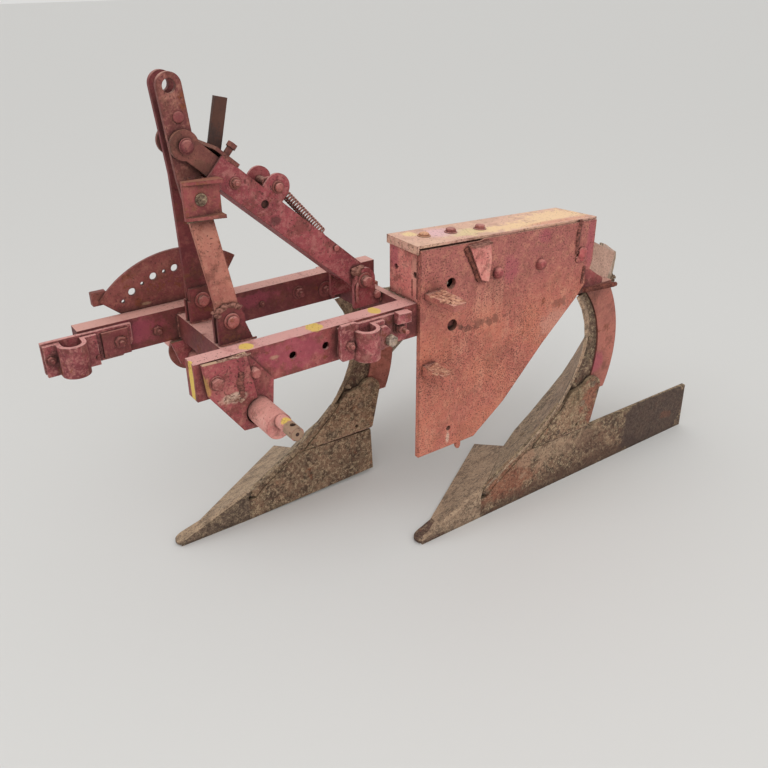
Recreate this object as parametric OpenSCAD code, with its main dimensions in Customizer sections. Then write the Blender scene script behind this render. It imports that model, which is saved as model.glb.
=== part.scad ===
// Two-furrow mounted mouldboard plough, right-hand, with a pinned mast and a release strut.
// Layout frame: +X is the travel direction, +Y the landside, +Z up, with the rear
// body's share point at the layout origin. place() moves it all so that the origin
// of the part is under the middle of its box.

/* [Furrows and bodies] */
// Furrow width, from one landside to the next
furrow_w = 356; // [320:1:390]
// Distance along the travel direction between the two share points
point_spacing = 509; // [480:1:540]
// Height of the landsides
landside_h = 152; // [130:1:165]
// Thickness of the landsides and of the plate bolted flush with them
landside_t = 12; // [9:0.5:14]
// Length of the front body's short landside
landside_front_len = 402; // [340:1:460]
// Length of the rear body's long landside
landside_rear_len = 850; // [700:1:900]
// Distance from the share point back to the joint with the landside
share_len = 197; // [180:1:210]
// Thickness of share and mouldboard
board_t = 8; // [6:0.5:10]
// Angle of the mouldboard's straight lines to the travel direction
board_angle = 35; // [32:0.5:39]
// Length of the mouldboard along those lines, at its wing
board_len = 700; // [620:1:760]
// Reach of the share's wing to the furrow side
share_reach = 285; // [250:1:320]
// Thickness of the tail plate behind the mouldboard
tail_t = 6; // [4:0.5:8]
// Width of a leg, seen from the side
leg_w = 72; // [60:1:78]
// Thickness of a leg
leg_t = 14; // [9:0.5:14]

/* [Frame] */
// Height of the frame's top above the soles
frame_top = 671; // [650:1:720]
// Height of the left bar
bar_left_h = 79; // [70:1:90]
// Height of the right bar
bar_right_h = 72; // [64:1:79]
// Width of both bars
bar_w = 40; // [34:1:50]
// Wall of the hollow bars
bar_wall = 6; // [4:0.5:8]
// Distance between the left faces of the two bars
bar_pitch = 288; // [270:1:310]
// Distance from the left bar's inner face to the middle of the mast
mast_inset = 120; // [110:1:126]
// Front end of the left bar
bar_left_front = 545; // [520:1:570]
// Front end of the right bar
bar_right_front = 675; // [650:1:690]
// Back end of the left bar's underside
bar_left_back = -594; // [-600:1:-585]
// Width of the rear cross member along the travel direction
cross_rear_w = 17; // [12:1:20]
// Front face of the rear cross member
cross_rear_front = 42; // [38:1:48]
// Thickness of the plates that the legs hang from
flange_t = 12; // [8:1:16]
// Thickness of the pads between those plates and the frame
pad_t = 9; // [6:1:12]

/* [Box] */
// Front face of the box
box_front = 18; // [10:1:26]
// Length of the box
box_len = 550; // [500:1:560]
// Width of the box, over its walls
box_w = 115; // [100:1:130]
// Height of the lid's top over the frame, at the front
box_h = 132; // [120:1:150]
// Fall of the lid towards the back
lid_fall = 30; // [0:1:50]
// Thickness of the box walls and of the lid
box_wall = 6; // [4:0.5:8]
// Depth of the lid's front skirt
lid_skirt = 19; // [12:1:26]
// Height above the ground of the side plate's lower tip
side_plate_low = 273; // [220:1:320]
// Distance of the lid's far back corner in front of its near one
lid_skew = 27; // [0:1:40]

/* [Mast] */
// Height of the mast's pivot
mast_pivot_z = 706; // [700:1:716]
// Place of the mast's pivot along the travel direction
mast_pivot_x = 426; // [410:1:440]
// Height of the top-link hole above the pivot
mast_h = 442; // [420:1:470]
// Forward lean of the top-link hole from the pivot
mast_lean = 46; // [30:1:60]
// Width of the mast's flat bars
mast_bar_w = 48; // [44:1:56]
// Thickness of the mast's flat bars
mast_t = 10; // [8:1:12]
// Gap between the mast's plates at the top link
mast_gap = 24; // [20:1:36]
// Distance between the middles of the two mast feet
mast_foot_spread = 142; // [130:1:150]
// Diameter of the top-link hole
top_link_d = 26; // [25:0.5:27]
// Diameter of the mast's foot pins
mast_pin_d = 22; // [18:1:25]

/* [Release strut] */
// Height of the strut's foot pivot
strut_foot_z = 708; // [704:1:716]
// Place of the strut's foot pivot along the travel direction
strut_foot_x = 85; // [80:1:90]
// Height of the strut's upper pivot above the mast's pivot
strut_eye_rise = 339; // [330:1:346]
// Depth of the strut's channel
strut_d = 54; // [50:1:58]
// Wall of the strut's channel
strut_wall = 6; // [5:0.5:8]
// Length of the link that shows between channel and upper pivot
link_show = 68; // [60:1:80]
// Thickness of the link's cheeks
link_t = 8; // [6:0.5:10]
// Diameter of the strut's foot pin
strut_pin_d = 24; // [20:1:26]
// Diameter of the spring's coils
spring_d = 22; // [18:1:24]
// Diameter of the spring's wire
spring_wire = 4.4; // [3:0.1:5]
// Number of turns in the spring
spring_turns = 20; // [12:1:24]
// Length of the release lever above its bracket
lever_len = 96; // [60:1:110]
// Width of the release lever
lever_w = 26; // [20:1:30]

/* [Lower hitch] */
// Height of the cross shaft's axis
shaft_z = 545; // [535:1:552]
// Diameter of the cross shaft
shaft_d = 55; // [50:1:60]
// Diameter of the lower-link pins
hitch_pin_d = 28; // [22:0.5:29]
// Length of the lower-link pins
hitch_pin_len = 65; // [55:1:80]
// Distance between the shoulders of the two pins
hitch_spread = 683; // [660:1:720]
// Reach of the left shoulder past the landside plane
hitch_left = 87; // [70:1:110]
// Offset of the lower-link pins from the shaft's axis
pin_throw = 13; // [0:0.5:13]
// Direction of the left pin's offset, the right one lies opposite
pin_angle = 105; // [60:1:120]
// Outer radius of the shaft's setting sector
sector_r = 242; // [225:1:255]
// Radius of the sector's row of holes
sector_hole_r = 200; // [190:1:208]
// Thickness of the sector
sector_t = 8; // [6:1:10]

/* [Coulter clamps] */
// Place of the front coulter's stem along the travel direction
clamp_front_x = 696; // [680:1:720]
// Place of the rear coulter's stem along the travel direction
clamp_rear_x = 172; // [160:1:185]
// Diameter of the coulter stem that a clamp takes
stem_d = 40; // [34:1:44]
// Height of the clamps
clamp_h = 68; // [56:1:70]
// Thickness of the clamps' straps and plates
clamp_t = 9; // [7:0.5:11]

/* [Hidden] */
$fn = 48;
// Air between two pieces that seat on each other or turn in each other
fit_gap = 0.3;
// Air between the link's cheeks and what they slide along
slide_gap = 1;

// Shin line of a mouldboard: columns are height and distance behind the share point
SHIN = [[90, 205], [128, 270], [165, 341], [205, 398], [243, 444], [288, 480], [332, 508],
    [380, 528], [429, 538], [470, 534], [505, 525], [540, 508], [570, 488]];
shin_low = SHIN[0];

// Change of a mouldboard's angle with height: columns are height and change
TWIST = [[80, 0], [110, -2.5], [150, -4], [210, -3], [250, -1.5], [300, -0.5], [360, 0], [570, 0.5]];

// Edges of a mouldboard: columns are run along its lines, lower edge and upper edge
BOARD = [[0, 90, 570], [60, 88, 557], [120, 86, 545], [180, 83, 528], [249, 80, 502], [300, 98, 484],
    [360, 118, 468], [450, 140, 448], [520, 156, 430], [600, 174, 410], [700, 196, 380]];
// Edges of the tail plate behind it, in the same columns
TAIL = [[430, 400, 562], [455, 396, 577], [520, 386, 549], [600, 374, 504], [660, 368, 478],
    [700, 440, 462]];
board_rows = 12;
share_column = 4;
board_scale = board_len / BOARD[len(BOARD) - 1][0];

// Bodies: columns are share point along X, landside plane, landside length and rise of its heel
BODY_FRONT = [point_spacing, -furrow_w, landside_front_len, 13];
BODY_REAR = [0, 0, landside_rear_len, 0];

bar_left_y = -landside_t;
bar_right_y = bar_left_y - bar_pitch;
frame_mid_y = bar_left_y - bar_w - mast_inset;
frame_low = frame_top - bar_left_h;
cross_rear_back = cross_rear_front - cross_rear_w;

eye_dx = mast_lean * strut_eye_rise / mast_h;
strut_foot = [strut_foot_x, frame_mid_y, strut_foot_z];
strut_eye = [mast_pivot_x + eye_dx, frame_mid_y, mast_pivot_z + strut_eye_rise];
strut_span = norm([strut_eye[0] - strut_foot[0], strut_eye[2] - strut_foot[2]]);
strut_angle = atan2(strut_eye[2] - strut_foot[2], strut_eye[0] - strut_foot[0]);
channel_end = strut_span - link_show;

mast_half = mast_gap / 2 + mast_t;
collar_w = 5;
link_in = mast_half + collar_w + slide_gap;
link_out = link_in + link_t;
strut_in = link_out + slide_gap;
strut_out = strut_in + strut_wall;
lug_t = 10;
strut_lug_in = strut_out + slide_gap;

shaft_x = mast_pivot_x - 1;
shaft_low = shaft_z - shaft_d / 2;

clamp_reach = 56;
tail_depth = board_t + fit_gap;
tail_end = [for (j = [0 : board_rows]) board_point(TAIL, len(TAIL) - 1, j, tail_depth + tail_t)];
wing = [for (j = [0 : board_rows]) board_point(BOARD, len(BOARD) - 1, j, 0)];
part_front = clamp_front_x + clamp_reach;
part_left = hitch_left + hitch_pin_len;
part_back = min([for (p = tail_end) p[0]]);
part_right = -furrow_w + min([for (p = wing) p[1]]);
place_x = -(part_front + part_back) / 2;
place_y = -(part_left + part_right) / 2;

paint = "#9c4347";
paint_dark = "#7a3236";
paint_rust = "#b0664f";
earth = "#7d6c55";
steel = "#8a8078";
lever_brown = "#3d2b27";

module place() {
    translate([place_x, place_y, 0]) children();
}

// A plate that stands in the XZ plane, from y_left to the right by t
module wall_plate(y_left, t) {
    translate([0, y_left, 0]) rotate([90, 0, 0]) linear_extrude(t) children();
}

// A round bar along Y between two places
module cross_pin(x, z, y_low, y_high, d) {
    translate([x, y_high, z]) rotate([90, 0, 0]) cylinder(d = d, h = y_high - y_low);
}

// Flat bar outline with round ends between two points
module round_bar(a, b, w) {
    run = b - a;
    translate(a) circle(d = w);
    translate(b) circle(d = w);
    translate(a) rotate(atan2(run[1], run[0])) translate([0, -w / 2]) square([norm(run), w]);
}

// A bar of hollow section, closed at its front end by a plate as thick as its wall
module hollow_bar(x_back, x_front, y_left, z_low, h) {
    translate([x_back, y_left - bar_w, z_low]) difference() {
        cube([x_front - x_back, bar_w, h]);
        translate([-1, bar_wall, bar_wall])
            cube([x_front - x_back - bar_wall + 1, bar_w - 2 * bar_wall, h - 2 * bar_wall]);
    }
}

// Holes in the left bar's outer wall: columns are X and height below the frame's top
BAR_HOLES = [[333, 38], [255, 38]];
bar_hole_d = 17;

// Pad under the frame that a leg's flange is bolted to
module leg_pad() {
    translate([leg_back + 86, -landside_t - bar_w, frame_low - pad_t]) cube([84, bar_w, pad_t]);
}

bar_end_slope = 113;

module bar_left() {
    color(paint) {
        difference() {
            hollow_bar(bar_left_back, bar_left_front, bar_left_y, frame_low, bar_left_h);
            for (h = BAR_HOLES)
                cross_pin(h[0], frame_top - h[1], bar_left_y - bar_wall - 1, bar_left_y + 1, bar_hole_d);
            wall_plate(bar_left_y + 1, bar_w + 2)
                polygon([[bar_left_back - 1, frame_low + 4], [bar_left_back - 1, frame_top + 1],
                    [bar_left_back + bar_end_slope, frame_top + 1]]);
        }
        at_body(BODY_REAR) leg_pad();
    }
}

module bar_right() {
    color(paint)
        hollow_bar(cross_rear_front, bar_right_front, bar_right_y, frame_top - bar_right_h, bar_right_h);
}

cross_front_h = 58;
cross_front_top = frame_top - 14;
cross_front_x = [mast_pivot_x - 44, mast_pivot_x + 34];

module cross_front() {
    color(paint_dark)
        translate([cross_front_x[0], bar_right_y, cross_front_top - cross_front_h])
            cube([cross_front_x[1] - cross_front_x[0], bar_pitch - bar_w, cross_front_h]);
}

beam_y = -furrow_w - landside_t;

beam_top = frame_top - 25;

// Rear cross member: full height between the bars, lower where it runs on to the front body's beam
module cross_rear() {
    low = frame_top - bar_right_h;
    right = bar_right_y - bar_w;
    color(paint_dark) {
        translate([cross_rear_back, right, low])
            cube([cross_rear_w, bar_left_y - bar_w - right, bar_right_h]);
        translate([cross_rear_back, beam_y, low]) cube([cross_rear_w, right - beam_y, beam_top - low]);
    }
}

beam_back = point_spacing - 620;

module body_beam() {
    color(paint_dark) {
        translate([beam_back, beam_y - bar_w, frame_low])
            cube([cross_rear_front - beam_back, bar_w, beam_top - frame_low]);
        at_body(BODY_FRONT) leg_pad();
    }
}

box_top = frame_top + box_h;
box_back = box_front - box_len;
lid_front = box_front + box_wall;
function lid_z(x) = box_top - lid_fall * (lid_front - x) / box_len;

function lid_low(x) = lid_z(x) - box_wall;
lid_gap = 4;
lid_gap_back = -150;

// Outline of the side plate: front edge, top edge, lower in front, notch and slanting back edge
module side_plate_outline() {
    polygon([[box_front, side_plate_low], [box_front, lid_low(box_front) - lid_gap],
        [lid_gap_back, lid_low(lid_gap_back) - lid_gap], [lid_gap_back - 12, lid_low(lid_gap_back - 12)],
        [box_back + 1, lid_low(box_back + 1)], [box_back + 1, 663], [box_back + 8, 638],
        [box_back + 25, 641], [box_back + 20, 603], [box_back + 47, 571],
        [-376, 472], [-252, 344], [-189, 297], [-157, side_plate_low]]);
}

// Holes in the side plate: columns are X, height and diameter
PLATE_HOLES = [[-68, 702, 26], [-75, 599, 28], [-74, 325, 13]];

module side_plate() {
    color(paint_rust) difference() {
        wall_plate(0, landside_t) side_plate_outline();
        for (h = PLATE_HOLES) cross_pin(h[0], h[1], -landside_t - 1, 1, h[2]);
    }
}

// Plan of the box between two of its sides, its back slanting by lid_skew, smaller by inset
module box_plan(front, y_left, inset) {
    y_right = -box_w + inset;
    back = box_back + inset;
    slant = lid_skew / (box_w - landside_t);
    translate([0, 0, frame_top - 100]) linear_extrude(400)
        polygon([[front, y_left], [back - slant * (y_left + landside_t), y_left],
            [back - slant * (y_right + landside_t), y_right], [front, y_right]]);
}

module box_shell() {
    inner_front = box_front - box_wall;
    color(paint) difference() {
        intersection() {
            wall_plate(-landside_t, box_w - landside_t)
                polygon([[box_front, frame_top], [box_front, lid_low(box_front)],
                    [box_back, lid_low(box_back)], [box_back, frame_top]]);
            box_plan(box_front, -landside_t, 0);
        }
        intersection() {
            wall_plate(-landside_t + 1, box_w - landside_t - box_wall + 1)
                polygon([[inner_front, frame_top + box_wall], [inner_front, box_top + 1],
                    [box_back, box_top + 1], [box_back, frame_top + box_wall]]);
            box_plan(inner_front, -landside_t + 1, box_wall);
        }
        for (y = [-20, -91])
            translate([inner_front - 1, y, frame_top + 63])
                rotate([0, 90, 0]) cylinder(d = 13, h = box_wall + 2);
    }
}

lid_left = -5;
lid_edge = 3;

module box_lid() {
    lid_back = box_back - lid_edge;
    skirt_x = box_front + fit_gap;
    color(paint) intersection() {
        wall_plate(lid_left, box_w + lid_edge + lid_left)
            polygon([[lid_front, box_top - lid_skirt], [lid_front, box_top],
                [lid_back, lid_z(lid_back)], [lid_back, lid_low(lid_back)],
                [skirt_x, lid_low(skirt_x)], [skirt_x, box_top - lid_skirt]]);
        box_plan(lid_front, lid_left, -lid_edge);
    }
}

// Pegs on the side plate: columns are X, height, width, reach and thickness
PEGS = [[-18, 688, 50, 95, 14], [-8, 506, 38, 70, 27]];

// Pegs: flat bars that get narrower to their tips, the back corner of each tip cut off
module plate_pegs() {
    cut = 8;
    taper = 4;
    color(paint_rust) for (p = PEGS) {
        half = p[2] / 2;
        translate([p[0], 0, p[1] - p[4] / 2]) linear_extrude(p[4])
            polygon([[half, 0], [half - taper, p[3]], [taper + cut - half, p[3]],
                [taper - half, p[3] - cut], [-half, 0]]);
    }
}

// Strap beside the side plate: it hangs from its top edge and gets narrower downwards
module plate_strap() {
    top_z = lid_low(-150) - 8;
    color(paint) wall_plate(10, 10)
        polygon([[-112, top_z], [-173, top_z], [-178, top_z - 50], [-172, 686], [-150, 694]]);
}

strut_lug_r = 28;

// Outline of a foot lug: a round top over the pin, carried back to the cross member's front
module strut_lug_outline() {
    low = frame_top - 26;
    difference() {
        union() {
            translate([strut_foot_x, strut_foot_z]) circle(r = strut_lug_r);
            polygon([[cross_rear_front, low], [strut_foot_x + strut_lug_r, low],
                [strut_foot_x + strut_lug_r, strut_foot_z], [strut_foot_x - strut_lug_r, strut_foot_z],
                [strut_foot_x - strut_lug_r, frame_top - 1], [cross_rear_front, frame_top - 4]]);
        }
        translate([strut_foot_x, strut_foot_z]) circle(d = strut_pin_d + 2 * fit_gap);
    }
}

module strut_lugs() {
    color(paint) {
        wall_plate(frame_mid_y + strut_lug_in + lug_t, lug_t) strut_lug_outline();
        wall_plate(frame_mid_y - strut_lug_in, lug_t) strut_lug_outline();
    }
}

module strut_pin() {
    reach = strut_lug_in + lug_t + 9;
    color(steel)
        cross_pin(strut_foot_x, strut_foot_z, frame_mid_y - reach, frame_mid_y + reach, strut_pin_d);
}

mast_lug_r = 30;
mast_lug_t = 8;
mast_foot_in = mast_foot_spread / 2 - mast_t / 2;
foot_in = mast_foot_in - slide_gap;
foot_out = mast_foot_in + mast_t + slide_gap;

// Outline of a mast lug: its back slopes down to the cross member, its top round or flat
module mast_lug_outline(flat_top) {
    difference() {
        union() {
            if (flat_top)
                translate([mast_pivot_x - mast_lug_r, mast_pivot_z])
                    square([2 * mast_lug_r - 4, mast_lug_r - 2]);
            else
                translate([mast_pivot_x, mast_pivot_z]) circle(r = mast_lug_r);
            polygon([[cross_front_x[0], cross_front_top], [mast_pivot_x - mast_lug_r, mast_pivot_z - 10],
                [mast_pivot_x - mast_lug_r, mast_pivot_z], [mast_pivot_x + mast_lug_r, mast_pivot_z],
                [mast_pivot_x + mast_lug_r, cross_front_top]]);
        }
        translate([mast_pivot_x, mast_pivot_z]) circle(d = mast_pin_d + 2 * fit_gap);
    }
}

module mast_lugs() {
    color(paint) {
        for (y = [foot_out + mast_lug_t, foot_in])
            wall_plate(frame_mid_y + y, mast_lug_t) mast_lug_outline(false);
        for (y = [-foot_out, -foot_in + mast_lug_t])
            wall_plate(frame_mid_y + y, mast_lug_t) mast_lug_outline(true);
    }
}

module mast_pins() {
    over = 8;
    low = foot_in - mast_lug_t - over;
    high = foot_out + mast_lug_t + over;
    color(steel) for (side = [-1, 1]) {
        a = frame_mid_y + side * low;
        b = frame_mid_y + side * high;
        cross_pin(mast_pivot_x, mast_pivot_z, min(a, b), max(a, b), mast_pin_d);
    }
}

// Outline of the outer bracket plate, hanging from the left bar to in front of the shaft
module bracket_outline() {
    difference() {
        polygon([[shaft_x + 110, frame_top + 3], [shaft_x + 18, frame_top],
            [shaft_x - 7, shaft_low - 10], [shaft_x + 38, shaft_low - 7], [shaft_x + 103, frame_low + 12]]);
        translate([shaft_x, shaft_z]) circle(d = shaft_d + 6);
    }
}

module bracket_left_outer() {
    color(paint) wall_plate(bar_left_y + 2 * bracket_t, bracket_t) bracket_outline();
}

bracket_t = 10;

module bracket_left_inner() {
    color(paint) wall_plate(bar_left_y + bracket_t, bracket_t) difference() {
        polygon([[shaft_x + 60, frame_top - 4], [shaft_x + 14, frame_top], [shaft_x - 40, frame_low + 9],
            [shaft_x - 34, shaft_z - 10], [shaft_x - 14, shaft_low - 12], [shaft_x + 30, shaft_low - 12],
            [shaft_x + 60, shaft_z + 10]]);
        translate([shaft_x, shaft_z]) circle(d = shaft_d + 2 * fit_gap);
    }
}

module bracket_right() {
    color(paint_dark) wall_plate(bar_right_y + bracket_t, bracket_t) difference() {
        polygon([[shaft_x + 60, cross_front_top - cross_front_h - 2],
            [shaft_x - 60, cross_front_top - cross_front_h - 2],
            [shaft_x - 42, shaft_z - 6], [shaft_x, shaft_low - 12], [shaft_x + 42, shaft_z - 6]]);
        translate([shaft_x, shaft_z]) circle(d = shaft_d + 2 * fit_gap);
    }
}

// Plate of a clamp on its bar's left face, the lower rear corner cut off
module clamp_plate(x, y, reach_back, cut) {
    high = frame_top - 5;
    low = high - clamp_h;
    back = x - reach_back;
    wall_plate(y + clamp_t, clamp_t)
        polygon([[x + clamp_reach, low], [x + clamp_reach, high], [back, high], [back, low + cut],
            [back + cut, low]]);
}

// Strap in plan: it loops round the coulter's stem
module clamp_strap(x, y) {
    r = stem_d / 2;
    face = y + clamp_t;
    translate([x, face, frame_top - 9 - clamp_h]) linear_extrude(clamp_h) difference() {
        union() {
            translate([0, r]) circle(r = r + clamp_t);
            translate([-r - clamp_t, 0]) square([2 * (r + clamp_t), r]);
            translate([-r - 34, 0]) square([2 * r + 68, clamp_t]);
        }
        translate([0, r]) circle(r = r);
        translate([-r, -1]) square([2 * r, r + 1]);
        translate([-r - clamp_t - 1, -2 * clamp_t]) square([2 * (r + clamp_t + 1), 2 * clamp_t]);
    }
}

module clamp_front_plate() {
    color(paint) clamp_plate(clamp_front_x, bar_right_y, 130, 26);
}

module clamp_front_strap() {
    color(paint) clamp_strap(clamp_front_x, bar_right_y);
}

module clamp_rear_plate() {
    color(paint) clamp_plate(clamp_rear_x, bar_left_y, 120, 6);
}

module clamp_rear_strap() {
    color(paint) clamp_strap(clamp_rear_x, bar_left_y);
}

spread_top = mast_pivot_z + 279;
spread_low = mast_pivot_z + 39;

// One side of the mast: a flat bar, upright at the top, then spread out to its foot
module mast_side(side) {
    top = [mast_pivot_x + mast_lean, mast_pivot_z + mast_h];
    foot = [mast_pivot_x, mast_pivot_z];
    intersection() {
        wall_plate(frame_mid_y + 200, 400) difference() {
            round_bar(foot, top, mast_bar_w);
            translate(foot) circle(d = mast_pin_d + 2 * fit_gap);
            translate(top) circle(d = top_link_d);
            translate([strut_eye[0], strut_eye[2]]) circle(d = eye_pin_d + 2 * fit_gap);
        }
        translate([mast_pivot_x - 200, frame_mid_y, 0]) rotate([90, 0, 90]) linear_extrude(400)
            polygon([[side * mast_gap / 2, 1300], [side * mast_half, 1300], [side * mast_half, spread_top],
                [side * (mast_foot_in + mast_t), spread_low], [side * (mast_foot_in + mast_t), 600],
                [side * mast_foot_in, 600], [side * mast_foot_in, spread_low],
                [side * mast_gap / 2, spread_top]]);
    }
}

eye_pin_d = 20;

module mast_left() {
    color(paint) mast_side(1);
}

module mast_right() {
    color(paint_dark) mast_side(-1);
}

// Spacer between the mast's plates, and the strut's upper pin with a collar on each side
module mast_bolts() {
    mid = (strut_eye_rise + mast_h) / 2;
    reach = link_out + 8;
    color(steel) {
        cross_pin(mast_pivot_x + mast_lean * mid / mast_h, mast_pivot_z + mid,
            frame_mid_y - mast_gap / 2, frame_mid_y + mast_gap / 2, 26);
        cross_pin(strut_eye[0], strut_eye[2], frame_mid_y - reach, frame_mid_y + reach, eye_pin_d);
        for (y = [mast_half, -mast_half - collar_w])
            cross_pin(strut_eye[0], strut_eye[2], frame_mid_y + y, frame_mid_y + y + collar_w, 34);
    }
}

// Channel piece: its lower and upper end, its back and front, and the packer's height
mast_channel_z = [mast_pivot_z + 205, mast_pivot_z + 279];
mast_channel_x = [mast_pivot_x - 16, mast_pivot_x + 58];
packer_h = 34;
run_gap = 5;
function mast_face(z) = mast_half + (mast_foot_in + mast_t - mast_half) * max(0, spread_top - z)
    / (spread_top - spread_low);

// Channel piece on the mast's left side, upright and clear of the strut, its flanges pointing away
// from the mast and tapered in plan, with a packer between it and the mast's plate
module mast_channel() {
    web_y = strut_out + run_gap;
    web_t = 8;
    x_low = mast_channel_x[0];
    x_high = mast_channel_x[1];
    z_low = mast_channel_z[0];
    z_high = mast_channel_z[1];
    color(paint) translate([0, frame_mid_y, 0]) {
        translate([x_low, web_y, z_low]) cube([x_high - x_low, web_t, z_high - z_low]);
        for (z = [z_low, z_high - 7])
            translate([0, 0, z]) linear_extrude(7)
                polygon([[x_low, web_y + 1], [x_high, web_y + 1], [x_high, web_y + 10], [x_low, web_y + 28]]);
        translate([mast_pivot_x + 4, 0, 0]) rotate([90, 0, 90]) linear_extrude(38)
            polygon([[mast_face(z_low), z_low], [web_y + 1, z_low], [web_y + 1, z_low + packer_h],
                [mast_face(z_low + packer_h), z_low + packer_h]]);
    }
}

// Everything on the strut is drawn along its own axis: X from foot to eye
module on_strut() {
    translate(strut_foot) rotate([0, -strut_angle, 0]) children();
}

ear_u = 303;
ear_w = 45;
ear_r = 27;
ear_pin_d = 16;
anchor_u = 106;
anchor_w = 19;
anchor_d = 9;

module strut_side_outline() {
    half = strut_d / 2;
    difference() {
        union() {
            circle(d = strut_d);
            translate([0, -half]) square([channel_end, strut_d]);
            translate([ear_u, ear_w]) circle(r = ear_r);
            translate([ear_u - ear_r, 0]) square([2 * ear_r, ear_w]);
        }
        circle(d = strut_pin_d + 2 * fit_gap);
        translate([ear_u, ear_w]) circle(d = ear_pin_d + 2 * fit_gap);
        translate([anchor_u, anchor_w]) circle(d = anchor_d + 2 * fit_gap);
        translate([ear_u + 3, 2]) circle(d = 17);
    }
}

module strut_channel() {
    half = strut_d / 2;
    color(paint) on_strut() {
        wall_plate(strut_out, strut_wall) strut_side_outline();
        wall_plate(-strut_in, strut_wall) strut_side_outline();
        translate([40, -strut_in, -half]) cube([channel_end - 62, 2 * strut_in, strut_wall]);
    }
}

// Pin through the ears, and the small pin lower down that the spring is hooked on
module strut_cross_pins() {
    color(steel) on_strut() {
        cross_pin(ear_u, ear_w, -strut_out - 7, strut_out + 7, ear_pin_d);
        cross_pin(anchor_u, anchor_w, -strut_out - 4, strut_out + 4, anchor_d);
    }
}

// Points of the spring: hook on the ear pin, coils, hook on the anchor pin
spring_from = [ear_u - 38, ear_w + 5];
spring_to = [ear_u - 175, ear_w - 12];
spring_steps = 10;
spring_count = spring_steps * spring_turns;
spring_run = spring_to - spring_from;
spring_dir = spring_run / norm(spring_run);
spring_up = [-spring_dir[1], spring_dir[0]];
function hook_point(c, r, a) = [c[0] + r * cos(a), 0, c[1] + r * sin(a)];
function coil_point(i) = let (
        a = i * 360 / spring_steps,
        end = min(i, spring_count - i),
        r = (spring_d - spring_wire) / 2 * min(1, 2 * end / spring_steps),
        p = spring_from + spring_run * i / spring_count + spring_up * r * cos(a))
    [p[0], r * sin(a), p[1]];
hook_gap = 2 * fit_gap + spring_wire / 2;
spring_path = concat(
    [for (a = [-150 : 25 : 98]) hook_point([ear_u, ear_w], ear_pin_d / 2 + hook_gap, a)],
    [for (i = [0 : spring_count]) coil_point(i)],
    [for (a = [104 : 25 : 290]) hook_point([anchor_u, anchor_w], anchor_d / 2 + hook_gap, a)]);

function unit(v) = v / norm(v);
function path_dir(path, i) = unit(path[min(i + 1, len(path) - 1)] - path[max(i - 1, 0)]);
function ring(p, d, ref, r, sides) = let (a = unit(cross(d, ref)), b = cross(d, a))
    [for (k = [0 : sides - 1]) p + r * (a * cos(k * 360 / sides) + b * sin(k * 360 / sides))];

// A round tube swept along a path, closed at both ends
module sweep(path, r, sides, ref) {
    n = len(path);
    points = [for (i = [0 : n - 1]) each ring(path[i], path_dir(path, i), ref, r, sides)];
    walls = [for (i = [0 : n - 2]) for (k = [0 : sides - 1])
        [i * sides + k, i * sides + (k + 1) % sides, (i + 1) * sides + (k + 1) % sides, (i + 1) * sides + k]];
    cap_a = [[for (k = [sides - 1 : -1 : 0]) k]];
    cap_b = [[for (k = [0 : sides - 1]) (n - 1) * sides + k]];
    polyhedron(points, concat(walls, cap_a, cap_b), convexity = 10);
}

module release_spring() {
    color(steel) on_strut() sweep(spring_path, spring_wire / 2, 6, [0, 1, 0]);
}

latch_z = strut_d / 2;
latch_t = 7;
latch_bolt_u = channel_end - 20;

module latch_bracket() {
    color(paint_rust) on_strut() {
        translate([channel_end - 40, -strut_out, latch_z]) cube([58, 2 * strut_out, latch_t]);
        translate([latch_bolt_u, 12, latch_z + latch_t]) cylinder(d = 14, h = 18);
        translate([latch_bolt_u, 12, latch_z + latch_t + 18]) cylinder(d = 22, h = 10, $fn = 6);
    }
}

// Lever: a flat bar leaning forward from the bracket
module release_lever() {
    lean = 28;
    tip = lever_len * [sin(lean), cos(lean)];
    half = lever_w / 2 * [cos(lean), -sin(lean)];
    foot = lever_w / 2 / cos(lean);
    color(lever_brown) on_strut() translate([channel_end - 2, 0, latch_z + latch_t])
        wall_plate(-2, 10) polygon([[-foot, 0], [foot, 0], tip + half, tip - half]);
}

link_foot = 240;

module link_side_outline() {
    difference() {
        union() {
            translate([strut_span, 0]) circle(r = 28);
            translate([link_foot, -21]) square([strut_span - link_foot, 42]);
        }
        translate([strut_span, 0]) circle(d = eye_pin_d + 4);
    }
}

module strut_link() {
    color(paint_rust) on_strut() {
        wall_plate(link_out, link_t) link_side_outline();
        wall_plate(-link_in, link_t) link_side_outline();
        translate([link_foot, -link_in, 13]) cube([strut_span - 56 - link_foot, 2 * link_in, 8]);
    }
}

linch_hole_d = 11;
shaft_left = hitch_left;
shaft_right = hitch_left - hitch_spread;

// Cross shaft: a tube with a pin off its axis at each end, and a linch hole in each pin
module cross_shaft() {
    throw = pin_throw * [cos(pin_angle), sin(pin_angle)];
    shaft_mid = (shaft_left + shaft_right) / 2;
    shaft_reach = hitch_spread / 2 + hitch_pin_len - 16;
    color(paint) difference() {
        union() {
            cross_pin(shaft_x, shaft_z, shaft_right, shaft_left, shaft_d);
            cross_pin(shaft_x + throw[0], shaft_z + throw[1],
                shaft_left - 1, shaft_left + hitch_pin_len, hitch_pin_d);
            cross_pin(shaft_x - throw[0], shaft_z - throw[1],
                shaft_right - hitch_pin_len, shaft_right + 1, hitch_pin_d);
        }
        for (side = [1, -1])
            translate([shaft_x + side * throw[0], shaft_mid + side * shaft_reach, shaft_z - 60])
                cylinder(d = linch_hole_d, h = 120);
    }
}

// Holes of the sector: columns are angle and diameter
SECTOR_HOLES = [[56.5, 17], [72.7, 17], [87.2, 17], [48.5, 8], [64.5, 8], [80, 8]];
sector_from = 41;
sector_to = 124;

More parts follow.
